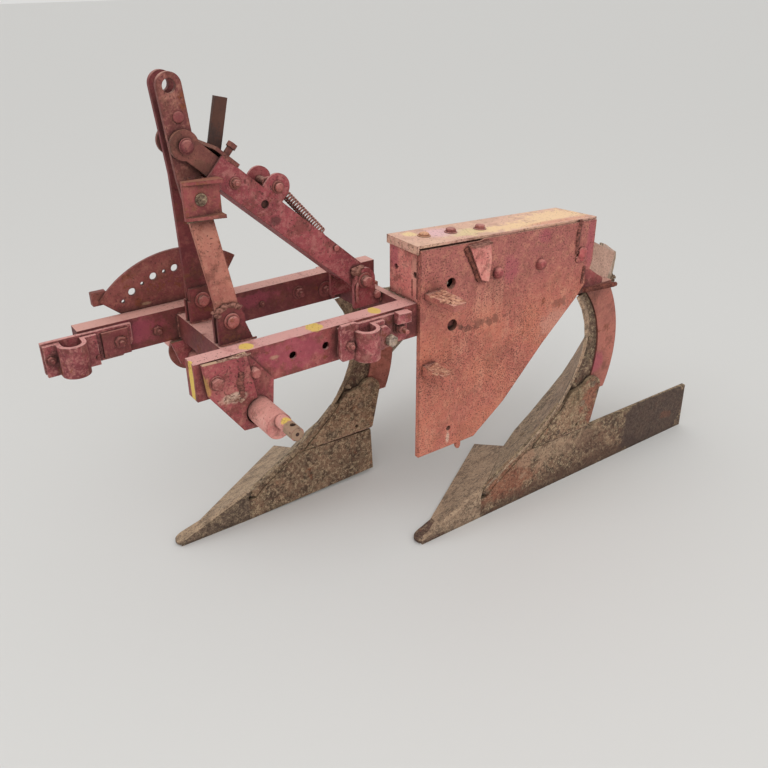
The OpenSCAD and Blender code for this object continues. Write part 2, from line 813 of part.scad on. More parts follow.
module sector_plate() {
    far = 2 * sector_r;
    color(paint_dark) wall_plate(bar_right_y - bar_w - 5, sector_t)
        translate([shaft_x, shaft_z]) difference() {
            union() {
                intersection() {
                    circle(r = sector_r, $fn = 96);
                    polygon([[0, 0], far * [cos(sector_from), sin(sector_from)],
                        far * [cos((sector_from + sector_to) / 2), sin((sector_from + sector_to) / 2)],
                        far * [cos(sector_to), sin(sector_to)]]);
                }
                circle(d = shaft_d + 40);
            }
            circle(d = shaft_d + 2 * fit_gap);
            for (h = SECTOR_HOLES)
                translate(sector_hole_r * [cos(h[0]), sin(h[0])]) circle(d = h[1]);
        }
}

share_h = shin_low[0] - 4;

// A plough bottom's pieces are drawn from its own share point
module at_body(body) {
    translate([body[0], body[1], 0]) children();
}

// Share: a blade from the cutting edge up to the mouldboard, with a blunt nose
module share() {
    t = board_t + 3;
    back = board_point(BOARD, share_column, 0, 0);
    wing_x = -share_reach / tan(board_angle - 1);
    top = [[0, 0, 12], [-share_len - 3, 0, share_h], [back[0], back[1], back[2] - 2],
        [wing_x, -share_reach, 8], [-14, -24, 10]];
    low = [[0, 0, 0], [-share_len, 0, share_h - t - 3], [back[0] - t, back[1], back[2] - 2 * t],
        [wing_x - 2 * t, t - share_reach, 0], [-14, -24, 0]];
    n = len(top);
    sides = [for (i = [0 : n - 1]) each let (j = (i + 1) % n) [[i, j, j + n], [i, j + n, i + n]]];
    caps = [for (i = [2 : n - 1]) each [[0, i, i - 1], [n, n + i - 1, n + i]]];
    color(earth) {
        polyhedron(concat(top, low), concat(sides, caps));
        wall_plate(0, landside_t) polygon([[0, 0], [0, 12], [-share_len, share_h - 1], [-share_len, 0]]);
    }
}

// Landside: its front slopes up behind the mouldboard
module landside(length, heel) {
    front = -share_len;
    back = -share_len - length;
    slope_back = -shin_low[1] - 151;
    notch_z = share_h - 25;
    color(earth) wall_plate(0, landside_t)
        polygon([[front, 0], [front, notch_z], [front - 22, notch_z], [front - 52, share_h],
            [slope_back, landside_h], [back + 6, landside_h - 6], [back, heel]]);
}

module frog() {
    up = landside_h + 2;
    color(earth) {
        wall_plate(0, landside_t) difference() {
            union() {
                polygon([[-376, up], [-478, 243], [-512, 284], [-562, 292], [-626, 270], [-600, up]]);
                translate([-592, 274]) circle(r = 34);
            }
            translate([-546, 172]) circle(d = 10);
        }
        wall_plate(-landside_t, 10) polygon([[-300, 30], [-360, 120], [-420, up], [-470, 218],
            [-520, 250], [-590, 250], [-590, 30]]);
    }
}

leg_low = 258;
leg_back = -680;
leg_r = 340;
leg_flange_w = 44;

// Leg: a bar between two arcs, from behind the frog up and forward to the flange
module leg() {
    top = frame_low - pad_t - flange_t;
    color(paint) {
        wall_plate(-landside_t, leg_t) intersection() {
            translate([leg_back + leg_r, 388]) difference() {
                circle(r = leg_r, $fn = 128);
                circle(r = leg_r - leg_w, $fn = 128);
            }
            translate([leg_back, leg_low]) square([leg_back + 900, top - leg_low]);
        }
        translate([leg_back + 48, -landside_t - leg_flange_w, top]) cube([126, leg_flange_w, flange_t]);
    }
}

// Front point of the mouldboard at height z
function shin_back(z) = -lookup(z, SHIN);

// Point of a curved sheet: column and row of its grid, and depth behind the mouldboard's face
function board_point(edges, i, j, depth) = let (
        z = edges[i][1] + (edges[i][2] - edges[i][1]) * j / board_rows,
        angle = board_angle + lookup(z, TWIST),
        run = edges[i][0] * board_scale,
        inset = depth / tan(angle) * max(0, 1 - run / 300))
    [shin_back(z) - (run + inset) * cos(angle) - depth * sin(angle),
        -(run + inset) * sin(angle) + depth * cos(angle) - fit_gap, z];

// Curved sheet: straight lines that turn a little with height, carried up along the shin's curve
module curved_sheet(edges, depth_front, depth_back) {
    columns = len(edges) - 1;
    n = board_rows + 1;
    count = (columns + 1) * n;
    points = [for (depth = [depth_back, depth_front]) for (i = [0 : columns]) for (j = [0 : board_rows])
        board_point(edges, i, j, depth)];
    back_sheet = [for (i = [0 : columns - 1]) for (j = [0 : board_rows - 1])
        each let (a = i * n + j) [[a, a + 1, a + n + 1], [a, a + n + 1, a + n]]];
    front_sheet = [for (f = back_sheet) [f[2] + count, f[1] + count, f[0] + count]];
    low_edge = [for (i = [0 : columns - 1]) each let (a = i * n)
        [[a, a + n, a + n + count], [a, a + n + count, a + count]]];
    top_edge = [for (i = [0 : columns - 1]) each let (a = i * n + board_rows)
        [[a + n, a, a + count], [a + n, a + count, a + n + count]]];
    shin_edge = [for (j = [0 : board_rows - 1]) each
        [[j, j + count, j + 1 + count], [j, j + 1 + count, j + 1]]];
    wing_edge = [for (j = [0 : board_rows - 1]) each let (a = columns * n + j)
        [[a + count, a, a + 1], [a + count, a + 1, a + 1 + count]]];
    polyhedron(points, concat(back_sheet, front_sheet, low_edge, top_edge, shin_edge, wing_edge));
}

// Mouldboard, with the tail plate that is bolted to the back of its wing
module mouldboard() {
    color(earth) {
        curved_sheet(BOARD, 0, board_t);
        curved_sheet(TAIL, tail_depth, tail_depth + tail_t);
    }
}

brace_z = 429;

// Brace in plan, from the leg's back to the mouldboard's back face
module brace() {
    reach = 230;
    width = 24;
    back_x = shin_back(brace_z) - (board_t + 2 * fit_gap) / sin(board_angle);
    tip = [back_x - reach / tan(board_angle), -reach];
    color(earth) translate([0, 0, brace_z - 13]) linear_extrude(26)
        polygon([[leg_back + 16, -landside_t - leg_t], [leg_back + 16 + width, -landside_t - leg_t],
            tip + width * [cos(board_angle), sin(board_angle)], tip]);
}

module share_1() {
    at_body(BODY_FRONT) share();
}
module mouldboard_1() {
    at_body(BODY_FRONT) mouldboard();
}
module landside_1() {
    at_body(BODY_FRONT) landside(BODY_FRONT[2], BODY_FRONT[3]);
}
module frog_1() {
    at_body(BODY_FRONT) frog();
}
module leg_1() {
    at_body(BODY_FRONT) leg();
}
module brace_1() {
    at_body(BODY_FRONT) brace();
}
module share_2() {
    at_body(BODY_REAR) share();
}
module mouldboard_2() {
    at_body(BODY_REAR) mouldboard();
}
module landside_2() {
    at_body(BODY_REAR) landside(BODY_REAR[2], BODY_REAR[3]);
}
module frog_2() {
    at_body(BODY_REAR) frog();
}
module leg_2() {
    at_body(BODY_REAR) leg();
}
module brace_2() {
    at_body(BODY_REAR) brace();
}

place() bar_left();
place() bar_right();
place() cross_front();
place() cross_rear();
place() body_beam();
place() side_plate();
place() box_shell();
place() box_lid();
place() plate_pegs();
place() plate_strap();
place() strut_lugs();
place() strut_pin();
place() mast_lugs();
place() mast_pins();
place() bracket_left_outer();
place() bracket_left_inner();
place() bracket_right();
place() clamp_front_plate();
place() clamp_front_strap();
place() clamp_rear_plate();
place() clamp_rear_strap();
place() mast_left();
place() mast_right();
place() mast_bolts();
place() mast_channel();
place() strut_channel();
place() strut_cross_pins();
place() release_spring();
place() latch_bracket();
place() release_lever();
place() strut_link();
place() cross_shaft();
place() sector_plate();
place() share_1();
place() mouldboard_1();
place() landside_1();
place() frog_1();
place() leg_1();
place() brace_1();
place() share_2();
place() mouldboard_2();
place() landside_2();
place() frog_2();
place() leg_2();
place() brace_2();
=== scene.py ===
"""Looks of a two-furrow mouldboard plough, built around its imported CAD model.

Places are written in the plough's own layout, in millimetres: X along the travel direction from
the rear share's point, Y to the landside from the face of the box's side plate, Z up from the
ground. at() turns them into the scene's metres.
"""
from math import cos, pi, radians, sin

import bmesh
import bpy
from mathutils import Euler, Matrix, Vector, noise


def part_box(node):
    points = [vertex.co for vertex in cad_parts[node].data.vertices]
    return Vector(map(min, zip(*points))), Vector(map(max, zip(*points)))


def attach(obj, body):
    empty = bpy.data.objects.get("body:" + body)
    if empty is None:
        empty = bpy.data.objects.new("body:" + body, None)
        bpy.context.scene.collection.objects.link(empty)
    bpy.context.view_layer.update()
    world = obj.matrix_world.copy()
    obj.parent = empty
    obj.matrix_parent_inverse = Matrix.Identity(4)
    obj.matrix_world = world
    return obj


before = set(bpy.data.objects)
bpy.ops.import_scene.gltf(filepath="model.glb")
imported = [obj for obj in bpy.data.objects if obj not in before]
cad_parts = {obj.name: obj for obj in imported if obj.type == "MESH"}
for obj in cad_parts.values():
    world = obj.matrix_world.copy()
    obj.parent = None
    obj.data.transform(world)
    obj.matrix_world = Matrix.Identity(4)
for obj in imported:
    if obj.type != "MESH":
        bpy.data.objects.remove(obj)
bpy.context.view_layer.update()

MM = 0.001
ORIGIN = Vector((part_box("share_2")[1][0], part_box("side_plate")[1][1], 0.0))


def at(x, y, z):
    """A place in the plough's layout, in the scene's metres."""
    return ORIGIN + Vector((x, y, z)) * MM


# Camera and light

PHOTO = 768
CAMERA_PLACE = (1037, 1315, 1350)
CAMERA_TURN = (62.25, 0.38, 144.82)
FOCAL_PX = 815
SENSOR = 36.0
SKY = 0.92
BACKDROP = (0.72, 0.715, 0.70)
LAMP_PLACE = (1.6, 2.6, 3.6)
LAMP_AIM = (0, 0, 0.4)
LAMP_SIZE = 3.0
LAMP_POWER = 40


def add_camera():
    data = bpy.data.cameras.new("camera")
    data.sensor_width = SENSOR
    data.lens = FOCAL_PX / PHOTO * SENSOR
    camera = bpy.data.objects.new("camera", data)
    camera.location = at(*CAMERA_PLACE)
    camera.rotation_euler = Euler([radians(a) for a in CAMERA_TURN])
    bpy.context.collection.objects.link(camera)
    bpy.context.scene.camera = camera


def add_lamp():
    """A wide soft lamp above the landside, like the brighter part of an overcast sky."""
    data = bpy.data.lights.new("overcast", "AREA")
    data.shape = "DISK"
    data.size = LAMP_SIZE
    data.energy = LAMP_POWER
    lamp = bpy.data.objects.new("overcast", data)
    lamp.location = LAMP_PLACE
    aim = Vector(LAMP_AIM) - Vector(LAMP_PLACE)
    lamp.rotation_euler = aim.to_track_quat("-Z", "Y").to_euler()
    bpy.context.collection.objects.link(lamp)


def add_world():
    """An even sky that lights the object, and a plain backdrop where the camera sees it."""
    world = bpy.data.worlds.new("studio")
    bpy.context.scene.world = world
    world.use_nodes = True
    tree = world.node_tree
    sky = tree.nodes["Background"]
    sky.inputs["Color"].default_value = (1, 1, 1, 1)
    sky.inputs["Strength"].default_value = SKY
    seen = tree.nodes.new("ShaderNodeBackground")
    seen.inputs["Color"].default_value = (*BACKDROP, 1)
    path = tree.nodes.new("ShaderNodeLightPath")
    seen_by = path.outputs["Is Camera Ray"]
    for other in ("Is Glossy Ray", "Is Transmission Ray"):
        either = tree.nodes.new("ShaderNodeMath")
        either.operation = "MAXIMUM"
        tree.links.new(seen_by, either.inputs[0])
        tree.links.new(path.outputs[other], either.inputs[1])
        seen_by = either.outputs[0]
    mix = tree.nodes.new("ShaderNodeMixShader")
    tree.links.new(seen_by, mix.inputs[0])
    tree.links.new(sky.outputs[0], mix.inputs[1])
    tree.links.new(seen.outputs[0], mix.inputs[2])
    tree.links.new(mix.outputs[0], tree.nodes["World Output"].inputs["Surface"])


# Materials

# The mix node's sockets for colours
MIX_A, MIX_B, MIX_RESULT = 6, 7, 2
# How wide the edge of a spot is, in shares of its reach
FIRM_EDGE, SOFT_EDGE = 0.06, 0.4
PAINT_SPOT_SCALE, STEEL_SPOT_SCALE = 60.0, 24.0

# Colours as they look on screen, 0 to 255
YELLOW = (222, 190, 92)
CREAM = (236, 208, 150)
MAGENTA = (168, 74, 92)
DARK = (52, 36, 32)
BARE = (190, 158, 124)
RUST = ((150, 84, 54), (96, 56, 42))
TAIL_TONE = (200, 166, 148)
# The last colour on each of the next three lines is painted shade, laid into corners and creases
PAINT_PIT, PAINT_CORNER_SHADE = (74, 42, 38), (58, 38, 34)
STEEL_STAIN, STEEL_PIT, STEEL_CORNER_SHADE = (66, 52, 44), (50, 38, 32), (50, 42, 34)
CRUST_CORNER_SHADE = (54, 40, 32)
FLOOR_TONE = (212, 211, 208)


def rgb(r, g, b):
    """A colour as it looks on screen, 0 to 255, as the shader's linear colour."""
    def linear(v):
        v /= 255
        return v / 12.92 if v <= 0.04045 else ((v + 0.055) / 1.055) ** 2.4
    return (linear(r), linear(g), linear(b), 1.0)


class Shader:
    """Short names for the nodes that the materials are made of."""

    def __init__(self, name):
        self.material = bpy.data.materials.new(name)
        self.material.use_nodes = True
        self.tree = self.material.node_tree
        self.principled = self.tree.nodes["Principled BSDF"]
        self.place = self.node("ShaderNodeTexCoord").outputs["Object"]
        self.normal = self.node("ShaderNodeNewGeometry").outputs["Normal"]

    def node(self, kind, **settings):
        node = self.tree.nodes.new(kind)
        for key, value in settings.items():
            setattr(node, key, value)
        return node

    def put(self, value, socket):
        if isinstance(value, bpy.types.NodeSocket):
            self.tree.links.new(value, socket)
        else:
            socket.default_value = value

    def math(self, operation, a, b, clamp=False):
        node = self.node("ShaderNodeMath", operation=operation, use_clamp=clamp)
        self.put(a, node.inputs[0])
        self.put(b, node.inputs[1])
        return node.outputs[0]

    def times(self, a, b):
        return self.math("MULTIPLY", a, b)

    def vector(self, operation, a, b=None, output="Vector"):
        node = self.node("ShaderNodeVectorMath", operation=operation)
        self.put(a, node.inputs[0])
        if b is not None:
            self.put(b, node.inputs[1])
        return node.outputs[output]

    def z_of(self, vector):
        node = self.node("ShaderNodeSeparateXYZ")
        self.put(vector, node.inputs[0])
        return node.outputs["Z"]

    def up(self):
        """How far a surface faces up: 1 on top, 0 on walls and below."""
        return self.math("MAXIMUM", self.z_of(self.normal), 0.0)

    def step(self, value, low, high):
        """0 below low and 1 above high, smooth between; low may be the larger one."""
        node = self.node("ShaderNodeMapRange", interpolation_type="SMOOTHSTEP")
        self.put(value, node.inputs["Value"])
        if low > high:
            low, high = high, low
            node.inputs["To Min"].default_value = 1.0
            node.inputs["To Max"].default_value = 0.0
        node.inputs["From Min"].default_value = low
        node.inputs["From Max"].default_value = high
        return node.outputs["Result"]

    def noise(self, scale, detail, rough=0.6, shift=0.0, stretch=(1, 1, 1)):
        moved = self.node("ShaderNodeMapping")
        self.put(self.place, moved.inputs["Vector"])
        moved.inputs["Location"].default_value = (shift, shift * 0.7, -shift)
        moved.inputs["Scale"].default_value = stretch
        node = self.node("ShaderNodeTexNoise")
        self.put(moved.outputs[0], node.inputs["Vector"])
        node.inputs["Scale"].default_value = scale
        node.inputs["Detail"].default_value = detail
        node.inputs["Roughness"].default_value = rough
        return node.outputs["Fac"]

    def wander(self, noise, reach):
        """The noise on both sides of zero."""
        return self.times(self.math("SUBTRACT", noise, 0.5), reach)

    def patches(self, scale, detail, rough, shift, low, high, strength=None):
        """Patches where a noise is above high, down to nothing where it is below low."""
        mask = self.step(self.noise(scale, detail, rough, shift), low, high)
        return mask if strength is None else self.times(mask, strength)

    def mix(self, share, a, b):
        """From a to b by share. Each is a socket or a colour as it looks on screen."""
        node = self.node("ShaderNodeMix", data_type="RGBA")
        self.put(share, node.inputs[0])
        for colour, socket in ((a, node.inputs[MIX_A]), (b, node.inputs[MIX_B])):
            self.put(rgb(*colour) if isinstance(colour, tuple) else colour, socket)
        return node.outputs[MIX_RESULT]

    def rounded(self, radius):
        """The surface's normal, turned a little at its edges so that they look worn round."""
        bevel = self.node("ShaderNodeBevel", samples=4)
        bevel.inputs["Radius"].default_value = radius
        return bevel.outputs[0]

    def edges(self, radius):
        """1 at a solid's edges, 0 on its faces."""
        facing = self.vector("DOT_PRODUCT", self.rounded(radius), self.normal, "Value")
        return self.step(facing, 0.985, 0.86)

    def corners(self, distance):
        """1 deep in a corner between pieces, 0 in the open; the materials darken there with painted
        shade.
        """
        node = self.node("ShaderNodeAmbientOcclusion", samples=6)
        node.inputs["Distance"].default_value = distance
        return self.step(node.outputs["AO"], 0.85, 0.35)

    def spot(self, centre, reach, ragged, scale):
        """1 within reach of a place in the plough's layout, with a ragged edge."""
        offset = self.vector("SUBTRACT", self.place, at(*centre))
        share = self.vector("DIVIDE", offset, Vector(reach) * MM)
        span = self.vector("LENGTH", share, output="Value")
        wander = self.wander(self.noise(scale, 5), ragged * 4)
        soft = FIRM_EDGE if ragged < 0.25 else SOFT_EDGE
        return self.step(self.math("ADD", span, wander), 1.0 + soft, 1.0 - soft)

    def spotted(self, colour, spots, scale, where=None):
        """The colour with its spots: each is a colour, centre, reach, raggedness and strength."""
        for patch, centre, reach, ragged, strength in spots:
            mask = self.times(self.spot(centre, reach, ragged, scale), strength)
            if where:
                mask = self.times(mask, where)
            colour = self.mix(mask, colour, patch)
        return colour

    def bump(self, height, strength, distance, normal=None):
        node = self.node("ShaderNodeBump")
        node.inputs["Strength"].default_value = strength
        node.inputs["Distance"].default_value = distance
        self.put(height, node.inputs["Height"])
        if normal:
            self.put(normal, node.inputs["Normal"])
        return node.outputs[0]

    def finish(self, colour, rough, normal):
        self.put(colour, self.principled.inputs["Base Color"])
        self.put(rough, self.principled.inputs["Roughness"])
        self.put(normal, self.principled.inputs["Normal"])
        self.principled.inputs["Specular IOR Level"].default_value = 0.3
        return self.material


def paint(name, tones, rust=RUST, rusty=0.5, pits=0.6, dust=None, dusty=0.8, spots=(), seed=0.0,
          upper=None, streaks=None, pit_size=210.0, rim_tone=None, stained=0.5):
    """Old paint: blotches and flecks, stains, rust that breaks through, dark pits, dust on top,
    painted shade in corners.

    tones are two that blotch and a pale one for flecks, rust a light and a dark one, dust and
    rim_tone the colours on top and at worn edges, streaks the colour of what has run down. upper
    is a colour with the heights in metres between which it fades in. rusty, pits, dusty and
    stained say how much there is of each. A larger pit_size makes the pits smaller.
    """
    s = Shader(name)
    colour = s.mix(s.patches(9, 6, 0.65, seed, 0.38, 0.62), tones[0], tones[1])
    if upper:
        tone, low, high = upper
        ragged = 0.16
        height = s.math("ADD", s.z_of(s.place), s.times(s.noise(12, 5, 0.6, seed + 2), ragged))
        share = s.step(height, low + ragged / 2, high + ragged / 2)
        colour = s.mix(s.times(share, 0.85), colour, tone)
    for scale, detail, rough, shift, low, high, strength, tone in (
            (42, 5, 0.7, 3, 0.5, 0.68, 0.5, tones[2]),
            (64, 8, 0.76, 21, 0.53, 0.6, 0.36, tones[2]),
            (170, 8, 0.8, 24, 0.52, 0.58, 0.36, tones[2]),
            (17, 12, 0.8, 23, 0.5, 0.58, stained, rust[1])):
        mask = s.patches(scale, detail, rough, seed + shift, low, high, strength)
        colour = s.mix(mask, colour, tone)
    if streaks:
        run = s.step(s.noise(46, 4, 0.6, seed + 4, (1, 1, 0.09)), 0.5, 0.64)
        run = s.times(run, s.patches(11, 3, 0.6, seed + 6, 0.45, 0.6))
        colour = s.mix(s.times(run, 0.3), colour, streaks)
    colour = s.spotted(colour, spots, PAINT_SPOT_SCALE)

    kept = 0.16 * (1 - rusty)
    bare = s.patches(26, 8, 0.72, seed + 7, 0.5 + kept, 0.58 + kept)
    rust_tone = s.mix(s.noise(90, 4, 0.6, seed + 9), rust[0], rust[1])
    colour = s.mix(s.times(bare, 0.8), colour, rust_tone)
    rim = s.times(s.edges(0.004), s.patches(60, 5, 0.6, seed + 5, 0.4, 0.6))
    colour = s.mix(s.times(rim, 0.65), colour, rim_tone or rust[1])
    if dust:
        top = s.step(s.up(), 0.35, 0.9)
        on_top = s.times(s.times(top, dusty), s.patches(14, 6, 0.7, seed + 11, 0.25, 0.5))
        colour = s.mix(on_top, colour, dust)
        colour = s.spotted(colour, spots, PAINT_SPOT_SCALE, top)

    crowd = s.wander(s.noise(7, 3, 0.5, seed + 25), 0.22)
    grains = s.math("ADD", s.noise(pit_size, 4, 0.6, seed + 13), crowd)
    more = 0.09 * pits
    pit = s.step(grains, 0.66 - more, 0.71 - more)
    colour = s.mix(s.times(pit, 0.72), colour, PAINT_PIT)
    # Painted shade: the colour darkens in corners between pieces
    colour = s.mix(s.times(s.corners(0.035), 0.85), colour, PAINT_CORNER_SHADE)
    height = s.math("SUBTRACT", s.times(s.noise(120, 6, 0.65, seed + 15), 0.5),
                    s.times(s.math("ADD", bare, pit), 0.5))
    height = s.math("ADD", height, s.times(s.noise(13, 3, 0.5, seed + 19), 1.6))
    rough = s.math("ADD", 0.62, s.times(bare, 0.25), clamp=True)
    return s.finish(colour, rough, s.bump(height, 0.55, 0.0012, s.rounded(0.0016)))


def earth(name, tones, rust=RUST, rusty=0.5, soil=(150, 132, 104), soiled=0.5, seed=0.0, spots=(),
          shine=0.0, top=0.55, rim_tone=None, mottle=0.6, pale=(188, 164, 132)):
    """Bare steel that has stood outside after work: brown rust, dried soil, dark stains, and
    painted shade in corners.

    tones are two that blotch, rust a light and a dark one, soil the colour of dried earth, also on
    top, rim_tone that of worn edges and pale that of flecks. rusty, soiled, top and mottle say how
    much there is of rust, of soil, of soil on top and of stains and flecks. shine makes it smoother
    in places.
    """
    s = Shader(name)
    colour = s.mix(s.patches(11, 7, 0.68, seed, 0.35, 0.65), tones[0], tones[1])
    kept = 0.1 * (1 - rusty)
    rust_tone = s.mix(s.noise(120, 4, 0.6, seed + 5), rust[0], rust[1])
    rusted = s.patches(24, 8, 0.75, seed + 4, 0.56 + kept, 0.66 + kept, 0.75)
    colour = s.mix(rusted, colour, rust_tone)
    dried = s.patches(32, 9, 0.78, seed + 8, 0.5, 0.62, soiled)
    colour = s.mix(dried, colour, soil)
    colour = s.mix(s.times(s.step(s.up(), 0.45, 0.8), top), colour, soil)
    rim = s.times(s.edges(0.003), s.patches(40, 5, 0.6, seed + 6, 0.35, 0.55))
    colour = s.mix(s.times(rim, 0.7), colour, rim_tone or soil)
    colour = s.mix(s.patches(27, 12, 0.82, seed + 27, 0.49, 0.55, mottle), colour, STEEL_STAIN)
    colour = s.mix(s.patches(84, 12, 0.86, seed + 29, 0.505, 0.55, mottle), colour, pale)
    colour = s.spotted(colour, spots, STEEL_SPOT_SCALE)
    colour = s.mix(s.patches(190, 6, 0.74, seed + 12, 0.53, 0.585, 0.65), colour, STEEL_PIT)
    # Painted shade: the colour darkens in corners between pieces
    colour = s.mix(s.times(s.corners(0.03), 0.5), colour, STEEL_CORNER_SHADE)
    height = s.math("ADD", s.noise(70, 8, 0.7, seed + 16), s.times(dried, 0.6))
    rough = s.math("SUBTRACT", 0.86, s.times(s.noise(18, 4, 0.6, seed + 18), shine), clamp=True)
    return s.finish(colour, rough, s.bump(height, 0.6, 0.0022, s.rounded(0.0012)))


def grit(name, light, dark, scale, seed):
    """Weld metal, rust crust, dried soil or painted shade behind holes, mottled and rough all over.
    """
    s = Shader(name)
    colour = s.mix(s.patches(scale, 6, 0.7, seed, 0.36, 0.64), dark, light)
    # Painted shade: the colour darkens in corners between pieces
    colour = s.mix(s.times(s.corners(0.008), 0.6), colour, CRUST_CORNER_SHADE)
    return s.finish(colour, 0.9, s.bump(s.noise(scale * 1.6, 5, 0.7, seed + 2), 0.7, 0.0014))


def make_looks():
    """Makes the materials, puts them on the CAD nodes that wear them and returns them by name."""
    looks = {}

    def look(make, name, *nodes, **settings):
        looks[name] = make(name, **settings)
        for node in nodes:
            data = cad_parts[node].data
            data.materials.clear()
            data.materials.append(looks[name])

    look(paint, "bar_paint", "bar_left",
         tones=((160, 80, 78), (130, 60, 62), (192, 122, 112)), rusty=0.55,
         dust=(220, 166, 158), dusty=0.92, seed=1.0, spots=[
             (YELLOW, (426, -32, 671), (15, 15, 8), 0.24, 0.9),
             (YELLOW, (270, -34, 671), (17, 21, 8), 0.24, 0.85),
             (YELLOW, (118, -34, 671), (13, 18, 8), 0.24, 0.85),
             (YELLOW, (545, -29, 634), (6, 10, 60), 0.1, 0.95),
             (MAGENTA, (330, -12, 640), (70, 5, 30), 0.8, 0.55),
             (BARE, (374, -12, 640), (10, 4, 4), 0.5, 0.5),
             (DARK, (60, -12, 620), (60, 5, 30), 0.3, 0.5)])
    # A darker copy of the bar paint: painted shade, for the far bar, the cross pieces and the body
    # beam
    look(paint, "far_bar_paint", "bar_right", "cross_front", "cross_rear", "body_beam",
         tones=((118, 56, 56), (98, 44, 48), (140, 80, 72)), rusty=0.45, pits=0.5,
         dust=(214, 162, 150), dusty=0.9, seed=2.0, spots=[
             (MAGENTA, (560, -300, 640), (60, 5, 26), 0.6, 0.5),
             (MAGENTA, (300, -300, 646), (90, 5, 14), 0.9, 0.4)])
    look(paint, "plate_paint", "side_plate", "plate_pegs",
         tones=((196, 116, 94), (184, 104, 90), (208, 142, 116)), rusty=0.28, pits=1.15,
         pit_size=270.0, stained=0.25, dust=(214, 160, 140), seed=3.0,
         upper=((166, 96, 92), 0.54, 0.74), streaks=(222, 158, 132), spots=[
             (MAGENTA, (-250, 0, 700), (22, 6, 34), 0.35, 0.5),
             (MAGENTA, (-355, 0, 757), (22, 6, 16), 0.35, 0.5),
             (MAGENTA, (-516, 0, 706), (14, 6, 66), 0.25, 0.55),
             (MAGENTA, (-488, 0, 676), (20, 6, 12), 0.2, 0.7),
             ((206, 158, 142), (-420, 0, 520), (60, 6, 36), 0.5, 0.4),
             (DARK, (-176, 0, 582), (60, 6, 9), 1.6, 0.5),
             (DARK, (-416, 0, 572), (24, 6, 10), 1.6, 0.4),
             (DARK, (-101, 0, 586), (7, 6, 7), 0.5, 0.6),
             (DARK, (-474, 0, 740), (5, 6, 26), 0.4, 0.7),
             ((224, 190, 168), (-72, 0, 300), (5, 6, 16), 0.3, 0.7),
             (BARE, (-524, 0, 614), (6, 6, 12), 0.2, 0.9)])
    look(paint, "lid_paint", "box_lid",
         tones=((212, 164, 148), (222, 182, 154), (190, 128, 118)), rusty=0.25,
         dust=(226, 184, 160), dusty=0.6, seed=4.0, spots=[
             (CREAM, (-20, -92, 803), (16, 16, 20), 0.3, 0.7),
             ((222, 200, 150), (-150, -46, 796), (64, 22, 20), 0.7, 0.7),
             ((240, 204, 156), (-280, -34, 790), (96, 20, 20), 0.8, 0.7),
             ((242, 206, 160), (-440, -60, 782), (100, 40, 20), 0.8, 0.7),
             ((226, 182, 190), (-90, -70, 800), (44, 30, 20), 0.3, 0.6),
             ((206, 132, 112), (-420, -20, 780), (110, 12, 20), 0.4, 0.5)])
    look(paint, "shell_paint", "box_shell", "plate_strap",
         tones=((226, 146, 134), (204, 118, 112), (232, 170, 152)), rusty=0.3, pits=0.7,
         seed=5.0, spots=[
             (MAGENTA, (18, -96, 760), (8, 16, 30), 0.3, 0.6),
             ((214, 156, 138), (18, -22, 735), (8, 12, 40), 0.3, 0.6)])
    # Darker than the near plate's paint: painted shade on the mast's far plate, also worn by the
    # lugs
    look(paint, "mast_paint", "mast_right", "mast_lugs",
         tones=((126, 58, 60), (100, 44, 48), (148, 84, 78)), rust=((146, 88, 62), (92, 58, 46)),
         rusty=0.6, dust=(186, 134, 122), dusty=0.6, seed=6.0)
    look(paint, "mast_near_paint", "mast_left",
         tones=((184, 118, 100), (154, 88, 78), (184, 128, 108)), pits=0.7,
         dust=(196, 146, 130), dusty=0.6, upper=((110, 54, 56), 0.84, 0.98), seed=7.0)
    look(paint, "channel_paint", "mast_channel",
         tones=((150, 74, 74), (124, 58, 60), (172, 108, 92)), rust=((158, 92, 60), (104, 70, 50)),
         rusty=0.65, dust=(160, 112, 90), seed=8.0)
    look(paint, "link_paint", "strut_link", "latch_bracket",
         tones=((126, 72, 64), (102, 56, 52), (150, 98, 82)), rust=((136, 82, 56), (84, 58, 44)),
         dust=(160, 112, 92), dusty=0.7, seed=22.0)
    look(paint, "strut_paint", "strut_channel", "strut_lugs",
         tones=((156, 74, 78), (128, 56, 62), (184, 122, 114)), dust=(200, 144, 136), dusty=0.7,
         seed=9.0, spots=[(DARK, (290, -129, 876), (12, 5, 10), 0.5, 0.6)])
    look(paint, "clamp_paint",
         "clamp_front_plate", "clamp_front_strap", "clamp_rear_plate", "clamp_rear_strap",
         tones=((160, 80, 84), (120, 56, 60), (210, 146, 134)), rusty=0.55,
         dust=(220, 160, 152), dusty=0.85, rim_tone=(222, 176, 166), seed=10.0)
    look(paint, "bracket_paint", "bracket_left_outer", "bracket_left_inner", "bracket_right",
         tones=((164, 80, 84), (134, 62, 66), (192, 128, 114)), dust=(202, 172, 140),
         seed=11.0, spots=[
             (YELLOW, (531, 3, 626), (8, 8, 22), 0.5, 0.45),
             ((212, 186, 164), (478, 8, 590), (26, 6, 9), 0.5, 0.75),
             (BARE, (401, 8, 620), (12, 6, 18), 0.2, 0.5)])
    look(paint, "sector_paint", "sector_plate",
         tones=((144, 80, 74), (122, 62, 62), (164, 108, 92)), rusty=0.6, seed=12.0,
         spots=[(BARE, (508, -345, 679), (10, 4, 3), 0.3, 0.6)])
    look(paint, "shaft_paint", "cross_shaft",
         tones=((216, 150, 140), (190, 110, 106), (224, 172, 158)), rusty=0.45, pits=0.5,
         dust=(208, 150, 138), dusty=0.6, seed=13.0, spots=[
             ((150, 126, 102), (421.6, 137, 557.6), (22, 21, 22), 0.2, 0.9),
             (YELLOW, (424, 112, 572), (14, 8, 9), 0.2, 0.85),
             (DARK, (421.6, 152, 557.6), (4, 3, 4), 0.05, 1.0)])
